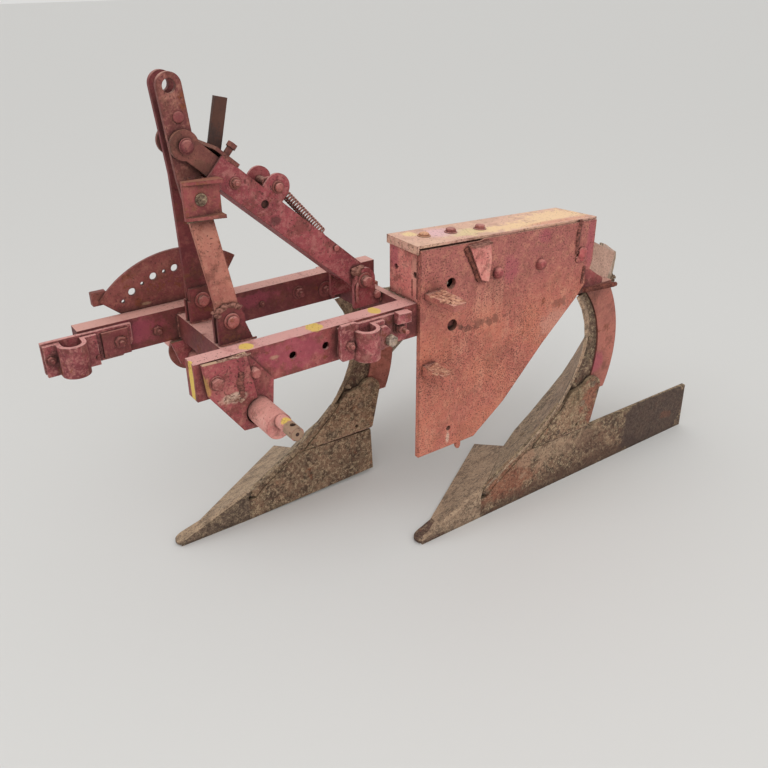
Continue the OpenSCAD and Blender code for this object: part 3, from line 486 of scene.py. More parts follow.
    look(paint, "leg_paint", "leg_1", "leg_2",
         tones=((178, 106, 92), (150, 90, 80), (190, 124, 104)), rusty=0.6, pits=0.5,
         dust=(196, 148, 130), dusty=0.6, seed=14.0,
         spots=[(MAGENTA, (-616, -12, 344), (22, 6, 30), 0.3, 0.6)])
    look(paint, "lever_paint", "release_lever",
         tones=((72, 50, 44), (58, 42, 38), (88, 62, 54)), rusty=0.2, pits=0.2, seed=15.0)

    look(earth, "board_steel", "mouldboard_1",
         tones=((156, 130, 106), (124, 104, 86)), seed=16.0, shine=0.3, rim_tone=(206, 196, 176),
         spots=[(TAIL_TONE, (-471, -666, 520), (130, 100, 72), 0.2, 0.95)])
    look(earth, "board_rear_steel", "mouldboard_2",
         tones=((176, 142, 116), (140, 114, 94)), seed=26.0, shine=0.3, rim_tone=(206, 186, 160),
         pale=(206, 178, 150), spots=[
             (TAIL_TONE, (-980, -310, 520), (130, 100, 72), 0.2, 0.95),
             # A dark patch on the board's back beside the leg: painted shade under the frame
             ((66, 50, 42), (-580, -40, 470), (34, 20, 120), 0.15, 0.6)])
    look(earth, "tail_steel", tones=((198, 156, 138), (182, 142, 124)), rusty=0.2,
         soil=(202, 164, 146), soiled=0.3, seed=25.0, mottle=0.12)
    look(earth, "brace_steel", "brace_1", "brace_2",
         tones=((116, 88, 74), (98, 76, 64)), rusty=0.6, seed=23.0)
    look(earth, "share_steel", "share_1",
         tones=((116, 96, 82), (96, 78, 66)), rusty=0.4, soil=(204, 174, 142), soiled=0.35,
         seed=17.0, shine=0.25, top=0.6, mottle=0.5)
    look(earth, "share_rear_steel", "share_2",
         tones=((166, 138, 114), (134, 110, 90)), rusty=0.4, soil=(196, 166, 136), soiled=0.35,
         seed=27.0, shine=0.25, top=0.3, mottle=0.5, pale=(200, 174, 146))
    look(earth, "nose_steel", tones=((104, 78, 68), (84, 60, 52)),
         soil=(130, 104, 86), soiled=0.3, seed=24.0, top=0.1, mottle=0.4)
    look(earth, "landside_steel", "landside_1", "landside_2",
         tones=((142, 110, 88), (108, 82, 66)), rust=((160, 92, 62), (122, 72, 52)), rusty=0.85,
         seed=18.0, shine=0.2, mottle=0.75, spots=[
             ((154, 88, 66), (-300, 0, 84), (90, 8, 60), 0.9, 0.55),
             ((176, 146, 120), (-440, 0, 118), (130, 8, 34), 1.4, 0.55),
             ((96, 66, 54), (-660, 0, 60), (120, 8, 60), 1.6, 0.5),
             ((88, 64, 52), (-520, 0, 10), (320, 8, 30), 0.9, 0.7),
             ((76, 60, 55), (-905, 0, 76), (150, 8, 120), 0.16, 0.82),
             ((126, 82, 64), (-963, 0, 66), (20, 6, 10), 1.4, 0.5)])
    look(earth, "frog_steel", "frog_1", "frog_2",
         tones=((156, 122, 98), (124, 92, 72)), rust=((172, 102, 66), (124, 78, 54)), rusty=0.8,
         seed=19.0, mottle=0.75, spots=[
             ((122, 104, 76), (-540, 0, 262), (40, 6, 30), 1.2, 0.4),
             ((150, 82, 66), (-590, 0, 232), (34, 6, 60), 1.2, 0.6)])
    look(earth, "pin_steel", "strut_pin", "mast_pins", "mast_bolts", "strut_cross_pins",
         tones=((150, 96, 88), (118, 74, 68)), soil=(176, 136, 120), soiled=0.3, seed=20.0,
         mottle=0.3, pale=(190, 144, 128))
    look(earth, "spring_steel", "release_spring",
         tones=((150, 84, 78), (120, 62, 60)), rusty=0.4, soil=(184, 138, 124), soiled=0.2,
         seed=21.0, mottle=0.2, pale=(196, 140, 126))

    look(paint, "bolt_paint", tones=((172, 98, 92), (142, 74, 72), (196, 134, 122)), rusty=0.55,
         pits=0.4, dust=(208, 150, 138), dusty=0.7, seed=30.0)
    # A darker copy of the bolt paint: painted shade, for the bolts on the far bar; the mast's top
    # bolts wear it too
    look(paint, "far_bolt_paint", tones=((134, 68, 68), (110, 52, 54), (158, 98, 88)), rusty=0.6,
         pits=0.4, dust=(184, 126, 114), dusty=0.6, seed=31.0)
    look(paint, "rivet_paint", tones=((180, 88, 88), (154, 70, 74), (200, 122, 112)), rusty=0.4,
         pits=0.4, dust=(206, 134, 124), seed=39.0)
    look(paint, "peach_paint", tones=((222, 158, 118), (206, 136, 104), (232, 180, 140)), rusty=0.3,
         pits=0.2, dust=(232, 182, 146), dusty=0.5, seed=32.0)
    look(earth, "bright_nut", tones=((206, 186, 172), (176, 150, 134)), rusty=0.3,
         soil=(214, 190, 168), soiled=0.4, seed=33.0, shine=0.4)
    look(earth, "old_bolt", tones=((128, 102, 86), (104, 82, 68)), rusty=0.6,
         soil=(160, 136, 112), soiled=0.4, seed=34.0)
    for name, light, dark, scale, seed in (
            ("weld", (150, 92, 82), (92, 56, 50), 120.0, 35.0),
            # The next one is the painted shade behind the side plate's holes
            ("dark_crust", (66, 46, 42), (40, 28, 26), 90.0, 40.0),
            ("peg_crust", (216, 164, 136), (150, 92, 76), 90.0, 41.0),
            ("dark_rust", (138, 82, 68), (86, 48, 42), 110.0, 42.0),
            ("rust_crust", (160, 112, 98), (94, 58, 50), 120.0, 36.0),
            ("dried_soil", (200, 164, 144), (120, 80, 68), 90.0, 37.0)):
        look(grit, name, light=light, dark=dark, scale=scale, seed=seed)
    return looks


# Small pieces

LEFT, RIGHT = Vector((0, 1, 0)), Vector((0, -1, 0))
UP, DOWN = Vector((0, 0, 1)), Vector((0, 0, -1))
FRONT = Vector((1, 0, 0))

SHARP_DEG = 38
WASHER = 2.5
THREAD_PITCH = 1.8
# Steps along a weld bead and along a smooth rod
BEAD_STEP, ROD_STEP = 2.2, 6.0
RULED_STEPS = 10


class Forms:
    """Small forms that make up one piece. Places are in the plough's layout, in millimetres."""

    def __init__(self, seed=0.0):
        self.mesh = bmesh.new()
        self.seed = seed

    def skin(self, rings):
        """Faces from ring to ring, with a cap on the first and on the last."""
        rows = [[self.mesh.verts.new(at(*p)) for p in ring] for ring in rings]
        count = len(rows[0])
        for low, high in zip(rows, rows[1:]):
            for i in range(count):
                j = (i + 1) % count
                self.mesh.faces.new((low[i], low[j], high[j], high[i]))
        self.mesh.faces.new(rows[0][::-1])
        self.mesh.faces.new(rows[-1])

    def turned(self, place, axis, profile, sides, turn=0.3):
        """A solid round an axis: profile lists radius and distance along the axis."""
        place, along = Vector(place), Vector(axis).normalized()
        across = along.orthogonal().normalized()
        third = along.cross(across)
        angles = [turn + 2 * pi * k / sides for k in range(sides)]
        self.skin([[place + along * h + (across * cos(a) + third * sin(a)) * r for a in angles]
                   for r, h in profile])

    def washer(self, place, axis, r, t=WASHER):
        self.turned(place, axis, [(r - 0.4, -0.2), (r, 0.4), (r, t - 0.8), (r - 0.9, t)], 24)

    def hexagon(self, place, axis, r, h, turn):
        """A nut or a bolt's head, its outer corners taken off."""
        self.turned(place, axis, [(r, -0.2), (r, 0.82 * h), (0.95 * r, 0.93 * h), (0.84 * r, h)],
                    6, turn)
        self.turned(place, axis, [(0.8 * r, 0.5 * h), (0.8 * r, h + 0.25), (0.74 * r, h + 0.4)], 18)

    def dome(self, place, axis, r, h):
        self.turned(place, axis, [(r, -0.2), (r, 0.18 * h), (0.94 * r, 0.48 * h),
                                  (0.78 * r, 0.76 * h), (0.5 * r, 0.94 * h), (0.2 * r, h)], 22)

    def stud(self, place, axis, r, length):
        """A threaded end."""
        profile = [(r - 0.5, -1.0)]
        for k in range(int(length / THREAD_PITCH)):
            profile += [(r - 0.7, k * THREAD_PITCH), (r, (k + 0.5) * THREAD_PITCH)]
        self.turned(place, axis, profile + [(r - 1.2, length)], 12)

    def nut(self, place, axis, r, washer, stud, turn=0.3):
        """A washer, a nut on it and the bolt's end in it, as far as each has a size."""
        place, axis = Vector(place), Vector(axis)
        if washer:
            self.washer(place, axis, washer)
            place = place + axis * WASHER
        self.hexagon(place, axis, r, 0.8 * r, turn)
        if stud:
            self.stud(place + axis * 0.8 * r, axis, 0.55 * r, stud)

    def slab(self, outline, origin, across, along, out, thick, edge):
        """A plate with rounded-off edges, its outline given in the across and along directions."""
        middle = [sum(p[k] for p in outline) / len(outline) for k in (0, 1)]

        def ring(inset, height):
            points = []
            for p in outline:
                away = Vector((p[0] - middle[0], p[1] - middle[1]))
                away = away * (1 - inset / max(away.length, inset + 0.1))
                points.append(Vector(origin) + Vector(across) * (middle[0] + away[0])
                              + Vector(along) * (middle[1] + away[1]) + Vector(out) * height)
            return points

        self.skin([ring(edge, 0.0), ring(0.0, edge), ring(0.0, thick - edge), ring(edge, thick)])

    def sweep(self, path, r, rough, out, sides=8, flat=1.0):
        """A rod along a path of points; rough makes it a weld bead with ripples and lumps."""
        points = []
        for a, b in zip(path, path[1:]):
            a, b = Vector(a), Vector(b)
            steps = max(1, int((b - a).length / (BEAD_STEP if rough else ROD_STEP)))
            points += [a.lerp(b, k / steps) for k in range(steps)]
        points.append(Vector(path[-1]))
        last = len(points) - 1
        rings = []
        for i, p in enumerate(points):
            along = (points[min(i + 1, last)] - points[max(i - 1, 0)]).normalized()
            side = along.cross(Vector(out)).normalized()
            rise = side.cross(along)
            ring = []
            for k in range(sides):
                a = -2 * pi * k / sides
                radius = r
                if rough:
                    wander = noise.noise(p * 0.09 + Vector((self.seed, k * 0.35, 0)))
                    ripple = 0.35 * sin(i * 2.1)
                    radius *= 1 + rough * (wander + ripple) - 0.5 * (i in (0, last))
                ring.append(p + side * cos(a) * radius + rise * sin(a) * radius * flat)
            rings.append(ring)
        self.skin(rings)

    def ruled(self, low, high, thick):
        """A plate of straight lines between two straight edges, each given by its two ends."""
        rings = []
        for k in range(RULED_STEPS + 1):
            foot, head = (Vector(a).lerp(Vector(b), k / RULED_STEPS) for a, b in (low, high))
            away = (Vector(low[1]) - Vector(low[0])).cross(head - foot).normalized() * thick
            rings.append([foot, head, head + away, foot + away])
        self.skin(rings)

    def lump(self, place, size, rough, detail=3):
        """A crust or a clod: a ball drawn out to size, with an uneven surface."""
        ball = bmesh.ops.create_icosphere(self.mesh, subdivisions=detail, radius=1.0)
        broad = Vector((self.seed, place[0], place[2])) * 0.37
        fine = Vector((place[0], self.seed, 0)) * 0.61
        for vert in ball["verts"]:
            way = vert.co.copy()
            swell = noise.noise(way * 1.7 + broad) + 0.5 * noise.noise(way * 4.3 + fine)
            swell = 1 + rough * swell
            vert.co = at(*(Vector(place) + Vector([way[k] * size[k] * swell for k in range(3)])))

    def done(self, name, body, slot, material):
        """Makes the piece, which moves with the CAD body."""
        mesh = bpy.data.meshes.new(name)
        bmesh.ops.recalc_face_normals(self.mesh, faces=self.mesh.faces)
        self.mesh.to_mesh(mesh)
        self.mesh.free()
        mesh.materials.append(material)
        mesh.shade_smooth()
        mesh.set_sharp_from_angle(angle=radians(SHARP_DEG))
        piece = bpy.data.objects.new(name, mesh)
        bpy.context.collection.objects.link(piece)
        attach(piece, body)


# Where the two bodies' share points are, and the faces of the two long bars that pieces sit on
REAR_BODY, FRONT_BODY = (0, 0), (509, -356)
NEAR_BAR_RIGHT, FAR_BAR_LEFT, FAR_BAR_RIGHT = -52, -300, -340

# The box's lid, which falls 30 mm over its 550 mm
LID_FRONT, LID_TOP, LID_DROP, LID_LENGTH = 24, 803, 30, 550
LID_TILT = Vector((-0.0545, 0, 1)).normalized()

# The middle between the mast's bars, and the two feet
MID_Y = -172.0
MAST_FOOT_X, MAST_FOOT_Z = 426, 706
STRUT_FOOT = Vector((85, MID_Y, 708))
STRUT_ANGLE = radians(41.848)


def on_lid(x, y):
    return x, y, LID_TOP - LID_DROP * (LID_FRONT - x) / LID_LENGTH


def on_strut(u, y, w):
    """A place on the strut: along it from its foot, to the left of its middle, and across it."""
    c, s = cos(STRUT_ANGLE), sin(STRUT_ANGLE)
    return STRUT_FOOT + Vector((u * c - w * s, y, u * s + w * c))


def box_details(looks):
    bolts = Forms()
    for x, y in ((-114, -63), (-194, -55)):
        bolts.washer(on_lid(x, y), LID_TILT, 15, 2)
        bolts.hexagon(Vector(on_lid(x, y)) + LID_TILT * 2, LID_TILT, 12, 7, 0.2 + x)
    bolts.done("lid_bolts", "frame", "pink_paint", looks["bolt_paint"])
    first = Forms()
    first.washer(on_lid(-41, -67), LID_TILT, 15, 2)
    first.dome(Vector(on_lid(-41, -67)) + LID_TILT * 2, LID_TILT, 12, 7)
    first.done("lid_bolt_front", "frame", "pink_paint", looks["peach_paint"])

    rivets = Forms(7.0)
    for x, z in ((-205, 698), (-344, 690)):
        rivets.dome((x, 0, z), LEFT, 14, 15)
    rivets.lump((-487, 3, 688), (15, 9, 17), 0.3)
    rivets.done("plate_rivets", "frame", "rusted_paint", looks["rivet_paint"])
    plate = Forms(3.0)
    plate.turned((-110, -6, 276), DOWN, [(7, 0), (8, 6), (7.5, 16), (5, 22), (2, 24)], 12)
    plate.lump((-487, 1, 677), (20, 5, 13), 0.3)
    plate.done("plate_bolts", "frame", "rusted_paint", looks["plate_paint"])
    hole_nut = Forms()
    hole_nut.nut((-62, -20, 702), LEFT, 8, 0, 6)
    hole_nut.done("plate_hole_nut", "frame", "worn_steel", looks["bright_nut"])

    strap = Forms(10.0)
    strap.sweep([(-106, 3, 777), (-128, 2, 735), (-150, 2, 690)], 6.5, 0.5, out=LEFT, flat=0.6)
    strap.done("plate_strap_rust", "frame", "rusted_paint", looks["dark_rust"])
    # Dark rounds behind two holes: painted shade, so that nothing of the ground shows through them
    backs = Forms()
    backs.turned((-86, -12.5, 592), RIGHT, [(31, 0), (31, 3), (29, 4)], 24)
    backs.turned((-97, -34, 685), RIGHT, [(26, 0), (26, 3), (24, 4)], 24)
    backs.done("plate_hole_shade", "frame", "rusted_paint", looks["dark_crust"])
    crust = Forms(9.0)
    count = 16
    for x0, y0, z0, x1, y1 in ((-36, 14, 695, 2, 88), (-20, 14, 519, 6, 64)):
        for k in range(count):
            x = x0 + (x1 - x0) * ((k * 7) % count) / (count - 1)
            y = y0 + (y1 - y0) * k / (count - 1)
            crust.lump((x, y, z0 - 0.5), (7 + k % 3, 8, 3.4), 0.7, 2)
    crust.done("peg_crust", "frame", "rusted_paint", looks["peg_crust"])

    weld = Forms(5.0)
    weld.sweep([(-476, 0, 776), (-468, 0, 742), (-469, 0, 690)], 5.0, 0.6, out=LEFT)
    weld.sweep([(-503, 0, 652), (-499, 0, 606)], 4.6, 0.6, out=LEFT)
    for x, z, half, thick in ((-18, 688, 25, 7), (-8, 506, 19, 13.5)):
        weld.sweep([(x - half, 0, z + thick), (x + half, 0, z + thick)], 2.4, 0.4, out=LEFT)
        weld.sweep([(x - half, 0, z - thick), (x + half, 0, z - thick)], 2.4, 0.4, out=LEFT)
        weld.sweep([(x - half, 0, z - thick), (x - half, 0, z + thick)], 2.2, 0.4, out=LEFT)
    weld.sweep([(18, -12, 680), (18, -12, 788)], 2.2, 0.4, out=FRONT)
    weld.sweep([(18, -30, 682), (18, -31, 722)], 1.6, 0.3, out=FRONT)
    weld.sweep([(18, -20, 671.5), (18, -112, 671.5)], 2.4, 0.4, out=FRONT)
    weld.sweep([(-110, 0, 778), (-150, 0, 692)], 1.8, 0.4, out=LEFT)
    weld.done("box_welds", "frame", "rusted_paint", looks["weld"])

    flange = Forms()
    flange.slab([(-176, 0), (-112, 0), (-114, 17), (-172, 17)],
                (0, 0, 778), FRONT, LEFT, UP, 3.5, 0.8)
    flange.done("plate_strap_flange", "frame", "pink_paint", looks["rust_crust"])


def bar_details(looks):
    far = Forms()
    for x, z, r, washer, stud, turn in ((508, 631, 11, 0, 8, 0.1), (437, 638, 10, 14, 5, 0.7),
                                        (254, 632, 7, 0, 4, 0.4), (155, 638, 12, 16, 9, 0.9),
                                        (80, 629, 10, 20, 6, 0.2)):
        far.nut((x, FAR_BAR_LEFT, z), LEFT, r, washer, stud, turn)
        far.hexagon((x, FAR_BAR_RIGHT, z), RIGHT, r, 0.7 * r, turn)
    far.done("bar_right_bolts", "frame", "pink_paint", looks["far_bolt_paint"])

    loop = Forms()
    x = 61
    loop.sweep([(x, -296, 612), (x, -295, 660), (x, -297, 672), (x, -303, 677), (x, -337, 677),
                (x, -343, 672), (x, -345, 660), (x, -344, 612)], 4.2, 0, out=FRONT, sides=10)
    loop.nut((x, -296, 612), DOWN, 8, 0, 4)
    loop.nut((x, -344, 612), DOWN, 8, 0, 4)
    loop.done("bar_right_loop", "frame", "worn_steel", looks["far_bolt_paint"])

    bolts = Forms()
    bolts.washer((511, 8, 632), LEFT, 15, 2)
    bolts.hexagon((511, 10, 632), LEFT, 12.5, 9, 0.2)
    bolts.turned((429, -2, 630), LEFT, [(10, 0), (10, 16), (8.5, 18)], 18)
    for x in (500, 452):
        bolts.hexagon((x, NEAR_BAR_RIGHT, 640), RIGHT, 11, 8, 0.5)
    for x in (-572, -536):
        for body_x, body_y in (REAR_BODY, FRONT_BODY):
            bolts.nut((x + body_x, -34 + body_y, 571), DOWN, 10, 13, 6, 0.4)
    bolts.done("frame_bolts", "frame", "pink_paint", looks["bolt_paint"])

    rod = Forms()
    along = (-112, 0, -9)
    rod.stud((-508, 6, 587), along, 6.8, 114)
    rod.turned((-621, 6, 578), along, [(6.0, 0), (6.0, 7), (4.0, 10)], 12)
    rod.done("leg_rod", "frame", "worn_steel", looks["dark_rust"])

    weld = Forms(14.0)
    weld.sweep([(458, 8, 641), (463, 8, 618), (462, 8, 586)], 6.0, 0.6, out=LEFT)
    for y in (NEAR_BAR_RIGHT, FAR_BAR_LEFT):
        weld.sweep([(384, y, 657), (458, y, 657)], 3.2, 0.4, out=UP)
    for y in (-54, -298):
        weld.sweep([(460, y, 602), (460, y, 655)], 2.8, 0.4, out=FRONT)
    for y in (-53, -300):
        weld.sweep([(42, y, 602), (42, y, 669)], 2.8, 0.4, out=FRONT)
    weld.sweep([(520, -52, 594), (520, -52, 668)], 2.4, 0.4, out=RIGHT)
    weld.sweep([(532, -2, 668), (448, -2, 671)], 2.2, 0.4, out=UP)
    weld.done("frame_welds", "frame", "dark_red_paint", looks["weld"])

    soil = Forms(15.0)
    for k in range(9):
        soil.lump((500 - 7.5 * k, 3 + (k % 2), 672.5 - 0.2 * k), (7, 4, 2.2), 0.6, 2)
    soil.done("bracket_soil", "frame", "pink_paint", looks["dried_soil"])
    flakes = Forms(16.0)
    for x, z in ((494, 590), (484, 586), (473, 583), (463, 580), (490, 596), (468, 590)):
        flakes.lump((x, 8.2, z), (6, 2.2, 4), 0.7, 2)
    flakes.done("bracket_flakes", "frame", "pink_paint", looks["dried_soil"])

    lug = Forms()
    lug.slab([(0, 0), (0, 15), (32, 15), (32, 0)], (588, -353, 694), FRONT, RIGHT, UP, 30, 1.5)
    lug.done("sector_lug", "shaft", "dark_red_paint", looks["sector_paint"])


def clamp_details(looks):
    front = Forms()
    front.slab([(574, 603), (574, 660), (632, 660), (632, 603)],
               (0, -291, 0), FRONT, UP, LEFT, 6, 1.2)
    front.nut((595, -285, 633), LEFT, 13, 0, 8, 0.5)
    front.nut((646, -291, 612), LEFT, 9, 0, 5, 0.1)
    front.nut((738, -282, 632), LEFT, 9, 12, 6, 0.3)
    # The first head is low, so that the sector passes it when the shaft turns
    front.hexagon((595, FAR_BAR_RIGHT, 633), RIGHT, 12, 3.5, 0.3)
    front.hexagon((738, FAR_BAR_LEFT, 633), RIGHT, 12, 8, 0.3)
    front.done("front_clamp_bolts", "frame", "pink_paint", looks["far_bolt_paint"])

    rear = Forms()
    rear.slab([(190, 598), (190, 676), (198, 680), (232, 680), (236, 672), (236, 604), (228, 598)],
              (0, 6, 0), FRONT, UP, LEFT, 9, 1.5)
    rear.slab([(54, 646), (54, 670), (88, 672), (92, 648)], (0, -2, 0), FRONT, UP, LEFT, 20, 1.5)
    rear.slab([(110, 600), (106, 640), (118, 652), (132, 652), (140, 600)],
              (0, -2, 0), FRONT, UP, LEFT, 15, 2.0)
    rear.done("rear_clamp_casting", "frame", "pink_paint", looks["clamp_paint"])
    bolts = Forms()
    bolts.nut((76, -3, 632), LEFT, 12, 15, 0, 0.2)
    bolts.nut((76, 9, 632), LEFT, 10, 0, 16, 0.8)
    bolts.nut((213, 15, 632), LEFT, 10, 0, 6, 0.6)
    bolts.done("rear_clamp_bolts", "frame", "pink_paint", looks["bolt_paint"])
    bright = Forms()
    bright.nut((108, 13, 616), LEFT, 14, 0, 0, 0.1)
    bright.done("rear_clamp_nut", "frame", "worn_steel", looks["bright_nut"])


def mast_details(looks):
    mast = Forms()
    mast.dome((462, -150, 1093), LEFT, 11, 5)
    mast.dome((462, -194, 1093), RIGHT, 11, 5)
    pin_x, pin_z = 461.3, 1045
    mast.washer((pin_x, -128.2, pin_z), LEFT, 15)
    mast.dome((pin_x, -125.7, pin_z), LEFT, 12, 6)
    mast.washer((pin_x, -215.8, pin_z), RIGHT, 15)
    mast.dome((pin_x, -218.3, pin_z), RIGHT, 12, 6)
    mast.done("mast_bolt_heads", "mast", "worn_steel", looks["far_bolt_paint"])
    channel = Forms(32.0)
    channel.nut((450, -116, 948), LEFT, 9, 12, 5, 0.4)
    channel.sweep([(412, -116, 909), (482, -116, 909)], 1.8, 0.4, out=LEFT)
    channel.done("mast_channel_bolt", "mast", "pink_paint", looks["old_bolt"])

    lugs = Forms()
    for side in (1, -1):
        def beside(y):
            return MAST_FOOT_X, MID_Y + side * y, MAST_FOOT_Z

        lugs.washer(beside(85), LEFT * side, 17, 3)
        lugs.dome(beside(92.8), LEFT * side, 12.5, 5)
        lugs.washer(beside(57), RIGHT * side, 17, 3)
        lugs.hexagon(beside(48.8), RIGHT * side, 12, 5, 0.2)
    lugs.done("mast_foot_bolts", "frame", "worn_steel", looks["bolt_paint"])
    crust = Forms(34.0)
    for x, z, w in ((446, 731, 12), (434, 736, 11), (422, 736, 10), (409, 731, 10), (452, 722, 8)):
        crust.lump((x, -91, z), (w, 5.5, 6), 0.5, 2)
        crust.lump((x - 3, -111, z - 1), (w, 5, 5), 0.5, 2)
    crust.lump((104, -121, 731), (13, 7, 11), 0.45)
    crust.lump((92, -122, 738), (9, 6, 5), 0.5, 2)
    crust.done("lug_crust", "frame", "worn_steel", looks["rust_crust"])
    weld = Forms(35.0)
    for y in (-87, -115, -229, -257):
        weld.sweep([(374, y, 657), (456, y, 657)], 2.6, 0.5, out=UP)
    for y in (-118, -226):
        weld.sweep([(42, y, 648), (42, y, 666)], 2.6, 0.5, out=FRONT)
    weld.done("lug_welds", "frame", "dark_red_paint", looks["weld"])


def strut_details(looks):
    bolts = Forms()
    for side in (1, -1):
        out = LEFT * side
        bolts.washer(on_strut(303, side * 43, 45), out, 13)
        bolts.dome(on_strut(303, side * 49.8, 45), out, 9.5, 4)
        bolts.dome(on_strut(106, side * 46.8, 19), out, 6.5, 3)
        bolts.nut(on_strut(385, side * 43, 0), out, 9, 12, 4, 0.5)
    bolts.done("strut_bolt_heads", "strut", "worn_steel", looks["bolt_paint"])
    welds = Forms(42.0)
    up = on_strut(0, 0, 1) - on_strut(0, 0, 0)
    for side in (1, -1):
        welds.sweep([on_strut(399, side * 42, 27), on_strut(436, side * 42, 27)], 2.2, 0.4, out=up)
    welds.sweep([on_strut(422, -12, 34), on_strut(448, -12, 34)], 2.2, 0.4, out=up)
    welds.done("strut_welds", "strut", "rusted_paint", looks["weld"])
    foot = Forms()
    for side in (1, -1):
        out = LEFT * side
        foot.washer((STRUT_FOOT.x, MID_Y + side * 54, STRUT_FOOT.z), out, 18)
        foot.nut((STRUT_FOOT.x, MID_Y + side * 62.8, STRUT_FOOT.z), out, 12, 0, 0, 0.4)
    foot.sweep([(109, -112, 662), (110, -112, 690), (107, -114, 700), (103, -119, 704),
                (98, -124, 706)], 3.6, 0, out=LEFT)
    foot.turned((54, -118, 668), LEFT, [(9, -4), (9, 6), (7, 9)], 8)
    foot.done("strut_foot_bolts", "frame", "worn_steel", looks["bolt_paint"])


# The mouldboard's shin and the twist of its straight lines, each against height, as in the CAD
SHIN = ((90, 205), (128, 270), (165, 341), (205, 398), (243, 444), (288, 480), (332, 508),
        (380, 528), (429, 538), (470, 534), (505, 525), (540, 508), (570, 488))
TWIST = ((80, 0), (110, -2.5), (150, -4), (210, -3), (250, -1.5), (300, -0.5), (360, 0), (570, 0.5))
BOARD_DEG = 35
BOARD_SHIFT = -0.3
BOLT_DEPTH, TAIL_DEPTH = 8, 14.3
# Bolts of the mouldboard: the run along its lines, and the height
BOARD_BOLTS = ((40, 180), (42, 300), (44, 420), (190, 130), (200, 240), (225, 400), (470, 430),
               (560, 412), (640, 395))
# Flush bolt heads on the frog's left face, and nuts on the right side of frog and leg
FLUSH_HEADS = ((-596, 0, 286), (-560, 0, 236), (-470, 0, 172))
LEG_NUTS = ((-600, -22, 270), (-618, -26, 300))
# Dried soil along the landside's upper edge, at the frog's foot
SOIL_LINE = ((-255, -3, 90), (-421, -3, 153), (-560, -2, 152.5), (-598, -2, 152))
# Outline of the packing that closes the gap between landside, frog and shin
PACKING = [(-206, 70), (-222, 63), (-250, 88), (-340, 122), (-421, 154), (-376, 156), (-478, 243),
           (-492, 262), (-470, 262), (-450, 244), (-404, 205), (-347, 165), (-276, 128), (-211, 90)]
# Outline of the web between a leg's inner curve and the mouldboard's back
WEB = [(-478, 236), (-500, 268), (-523, 300), (-552, 350), (-568, 400), (-572, 450), (-562, 500),
       (-544, 540), (-527, 565), (-543, 565), (-563, 540), (-585, 500), (-603, 450), (-610, 400),
       (-607, 350), (-595, 300), (-560, 262)]
# Outline of the share's blunt nose, seen from above
NOSE = [(-74, 0.5), (-14, 1.4), (-6, 0.6), (0, -2), (5, -7), (8, -14), (8, -22), (5, -30),
        (0, -36), (-7, -41), (-16, -45), (-80, -62)]


def between(table, x):
    """The table's second column at x of its first."""
    if x <= table[0][0]:
        return table[0][1]
    for (x0, y0), (x1, y1) in zip(table, table[1:]):
        if x <= x1:
            return y0 + (y1 - y0) * (x - x0) / (x1 - x0)
    return table[-1][1]


def on_board(run, z, depth):
    """A place on a mouldboard by the run along its lines, and the way that it faces there."""
    a = radians(BOARD_DEG + between(TWIST, z))
    place = Vector((-between(SHIN, z) - run * cos(a) - depth * sin(a),
                    -run * sin(a) + depth * cos(a) + BOARD_SHIFT, z))
    rise = Vector((-(between(SHIN, z + 5) - between(SHIN, z - 5)), 0, 10))
    out = Vector((-cos(a), -sin(a), 0)).cross(rise).normalized()
    return place, out if out.x > 0 else -out


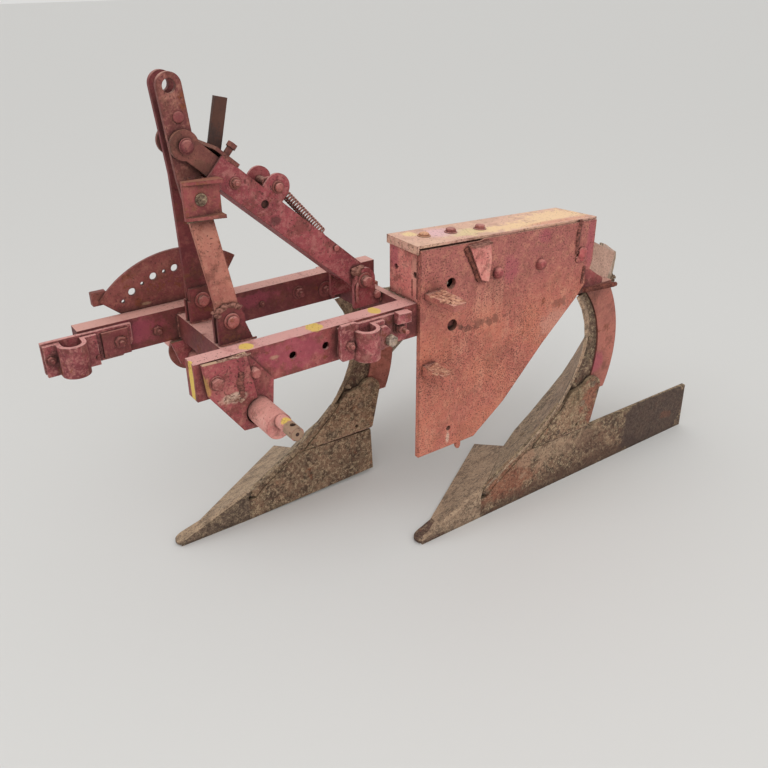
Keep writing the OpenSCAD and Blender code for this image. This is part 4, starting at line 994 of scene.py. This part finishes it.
def body_details(looks):
    for number, (x, y), nose_look in ((1, FRONT_BODY, "share_steel"), (2, REAR_BODY, "nose_steel")):
        shift = Vector((x, y, 0))

        def done(forms, piece, look):
            forms.done("%s_%d" % (piece, number), "frame", "earth_rusted_steel", looks[look])

        face, back = Forms(), Forms()
        for run, z in BOARD_BOLTS:
            place, out = on_board(run, z, 0)
            face.turned(place + shift, out, [(9.5, -2), (9.5, 0.5), (8.7, 0.9)], 20)
            on_tail = run > 430 and z > 380
            behind, out = on_board(run, z, TAIL_DEPTH if on_tail else BOLT_DEPTH)
            back.nut(behind + shift, -out, 8.5, 11, 5, run)
        done(face, "board_bolts", "old_bolt")
        for place in FLUSH_HEADS:
            back.turned(shift + Vector(place), LEFT, [(10, -2), (10, 0.8), (8.8, 1.5)], 20)
        for place in LEG_NUTS:
            back.nut(shift + Vector(place), RIGHT, 9, 12, 6, 0.3)
        done(back, "body_nuts", "old_bolt")
        soil = Forms(70.0 + number)
        soil.sweep([shift + Vector(p) for p in SOIL_LINE], 1.7, 0.5, out=LEFT)
        done(soil, "body_soil", "dried_soil")
        packing = Forms()
        packing.slab(PACKING, shift + Vector((0, -12, 0)), FRONT, UP, LEFT, 9, 0.8)
        done(packing, "shin_packing", "landside_steel")
        web = Forms()
        web.slab(WEB, shift + Vector((0, -22, 0)), FRONT, UP, LEFT, 5, 0.8)
        done(web, "leg_web", "brace_steel")
        nose = Forms()
        nose.slab(NOSE, shift + Vector((0, 0, 0.2)), FRONT, LEFT, UP, 13.5, 3.5)
        done(nose, "share_nose", nose_look)

    tail = Forms()
    tail.ruled([(-722, -170, 530), (-847, -205, 482)], [(-780, -215, 606), (-977, -290, 512)], 4.5)
    tail.done("tail_lean", "frame", "earth_rusted_steel", looks["tail_steel"])


# Set

def add_floor():
    """A plain pale floor, wide enough to reach past the picture."""
    mesh = bpy.data.meshes.new("floor")
    half = 30.0
    mesh.from_pydata([(-half, -half, 0), (half, -half, 0), (half, half, 0), (-half, half, 0)], [],
                     [(0, 1, 2, 3)])
    floor = bpy.data.objects.new("floor", mesh)
    bpy.context.collection.objects.link(floor)
    material = bpy.data.materials.new("floor")
    material.use_nodes = True
    shader = material.node_tree.nodes["Principled BSDF"]
    shader.inputs["Base Color"].default_value = rgb(*FLOOR_TONE)
    shader.inputs["Roughness"].default_value = 0.9
    mesh.materials.append(material)


bpy.context.scene.view_settings.view_transform = "Standard"
add_camera()
add_world()
add_lamp()
add_floor()
LOOKS = make_looks()
box_details(LOOKS)
bar_details(LOOKS)
clamp_details(LOOKS)
mast_details(LOOKS)
strut_details(LOOKS)
body_details(LOOKS)

bpy.context.view_layer.update()
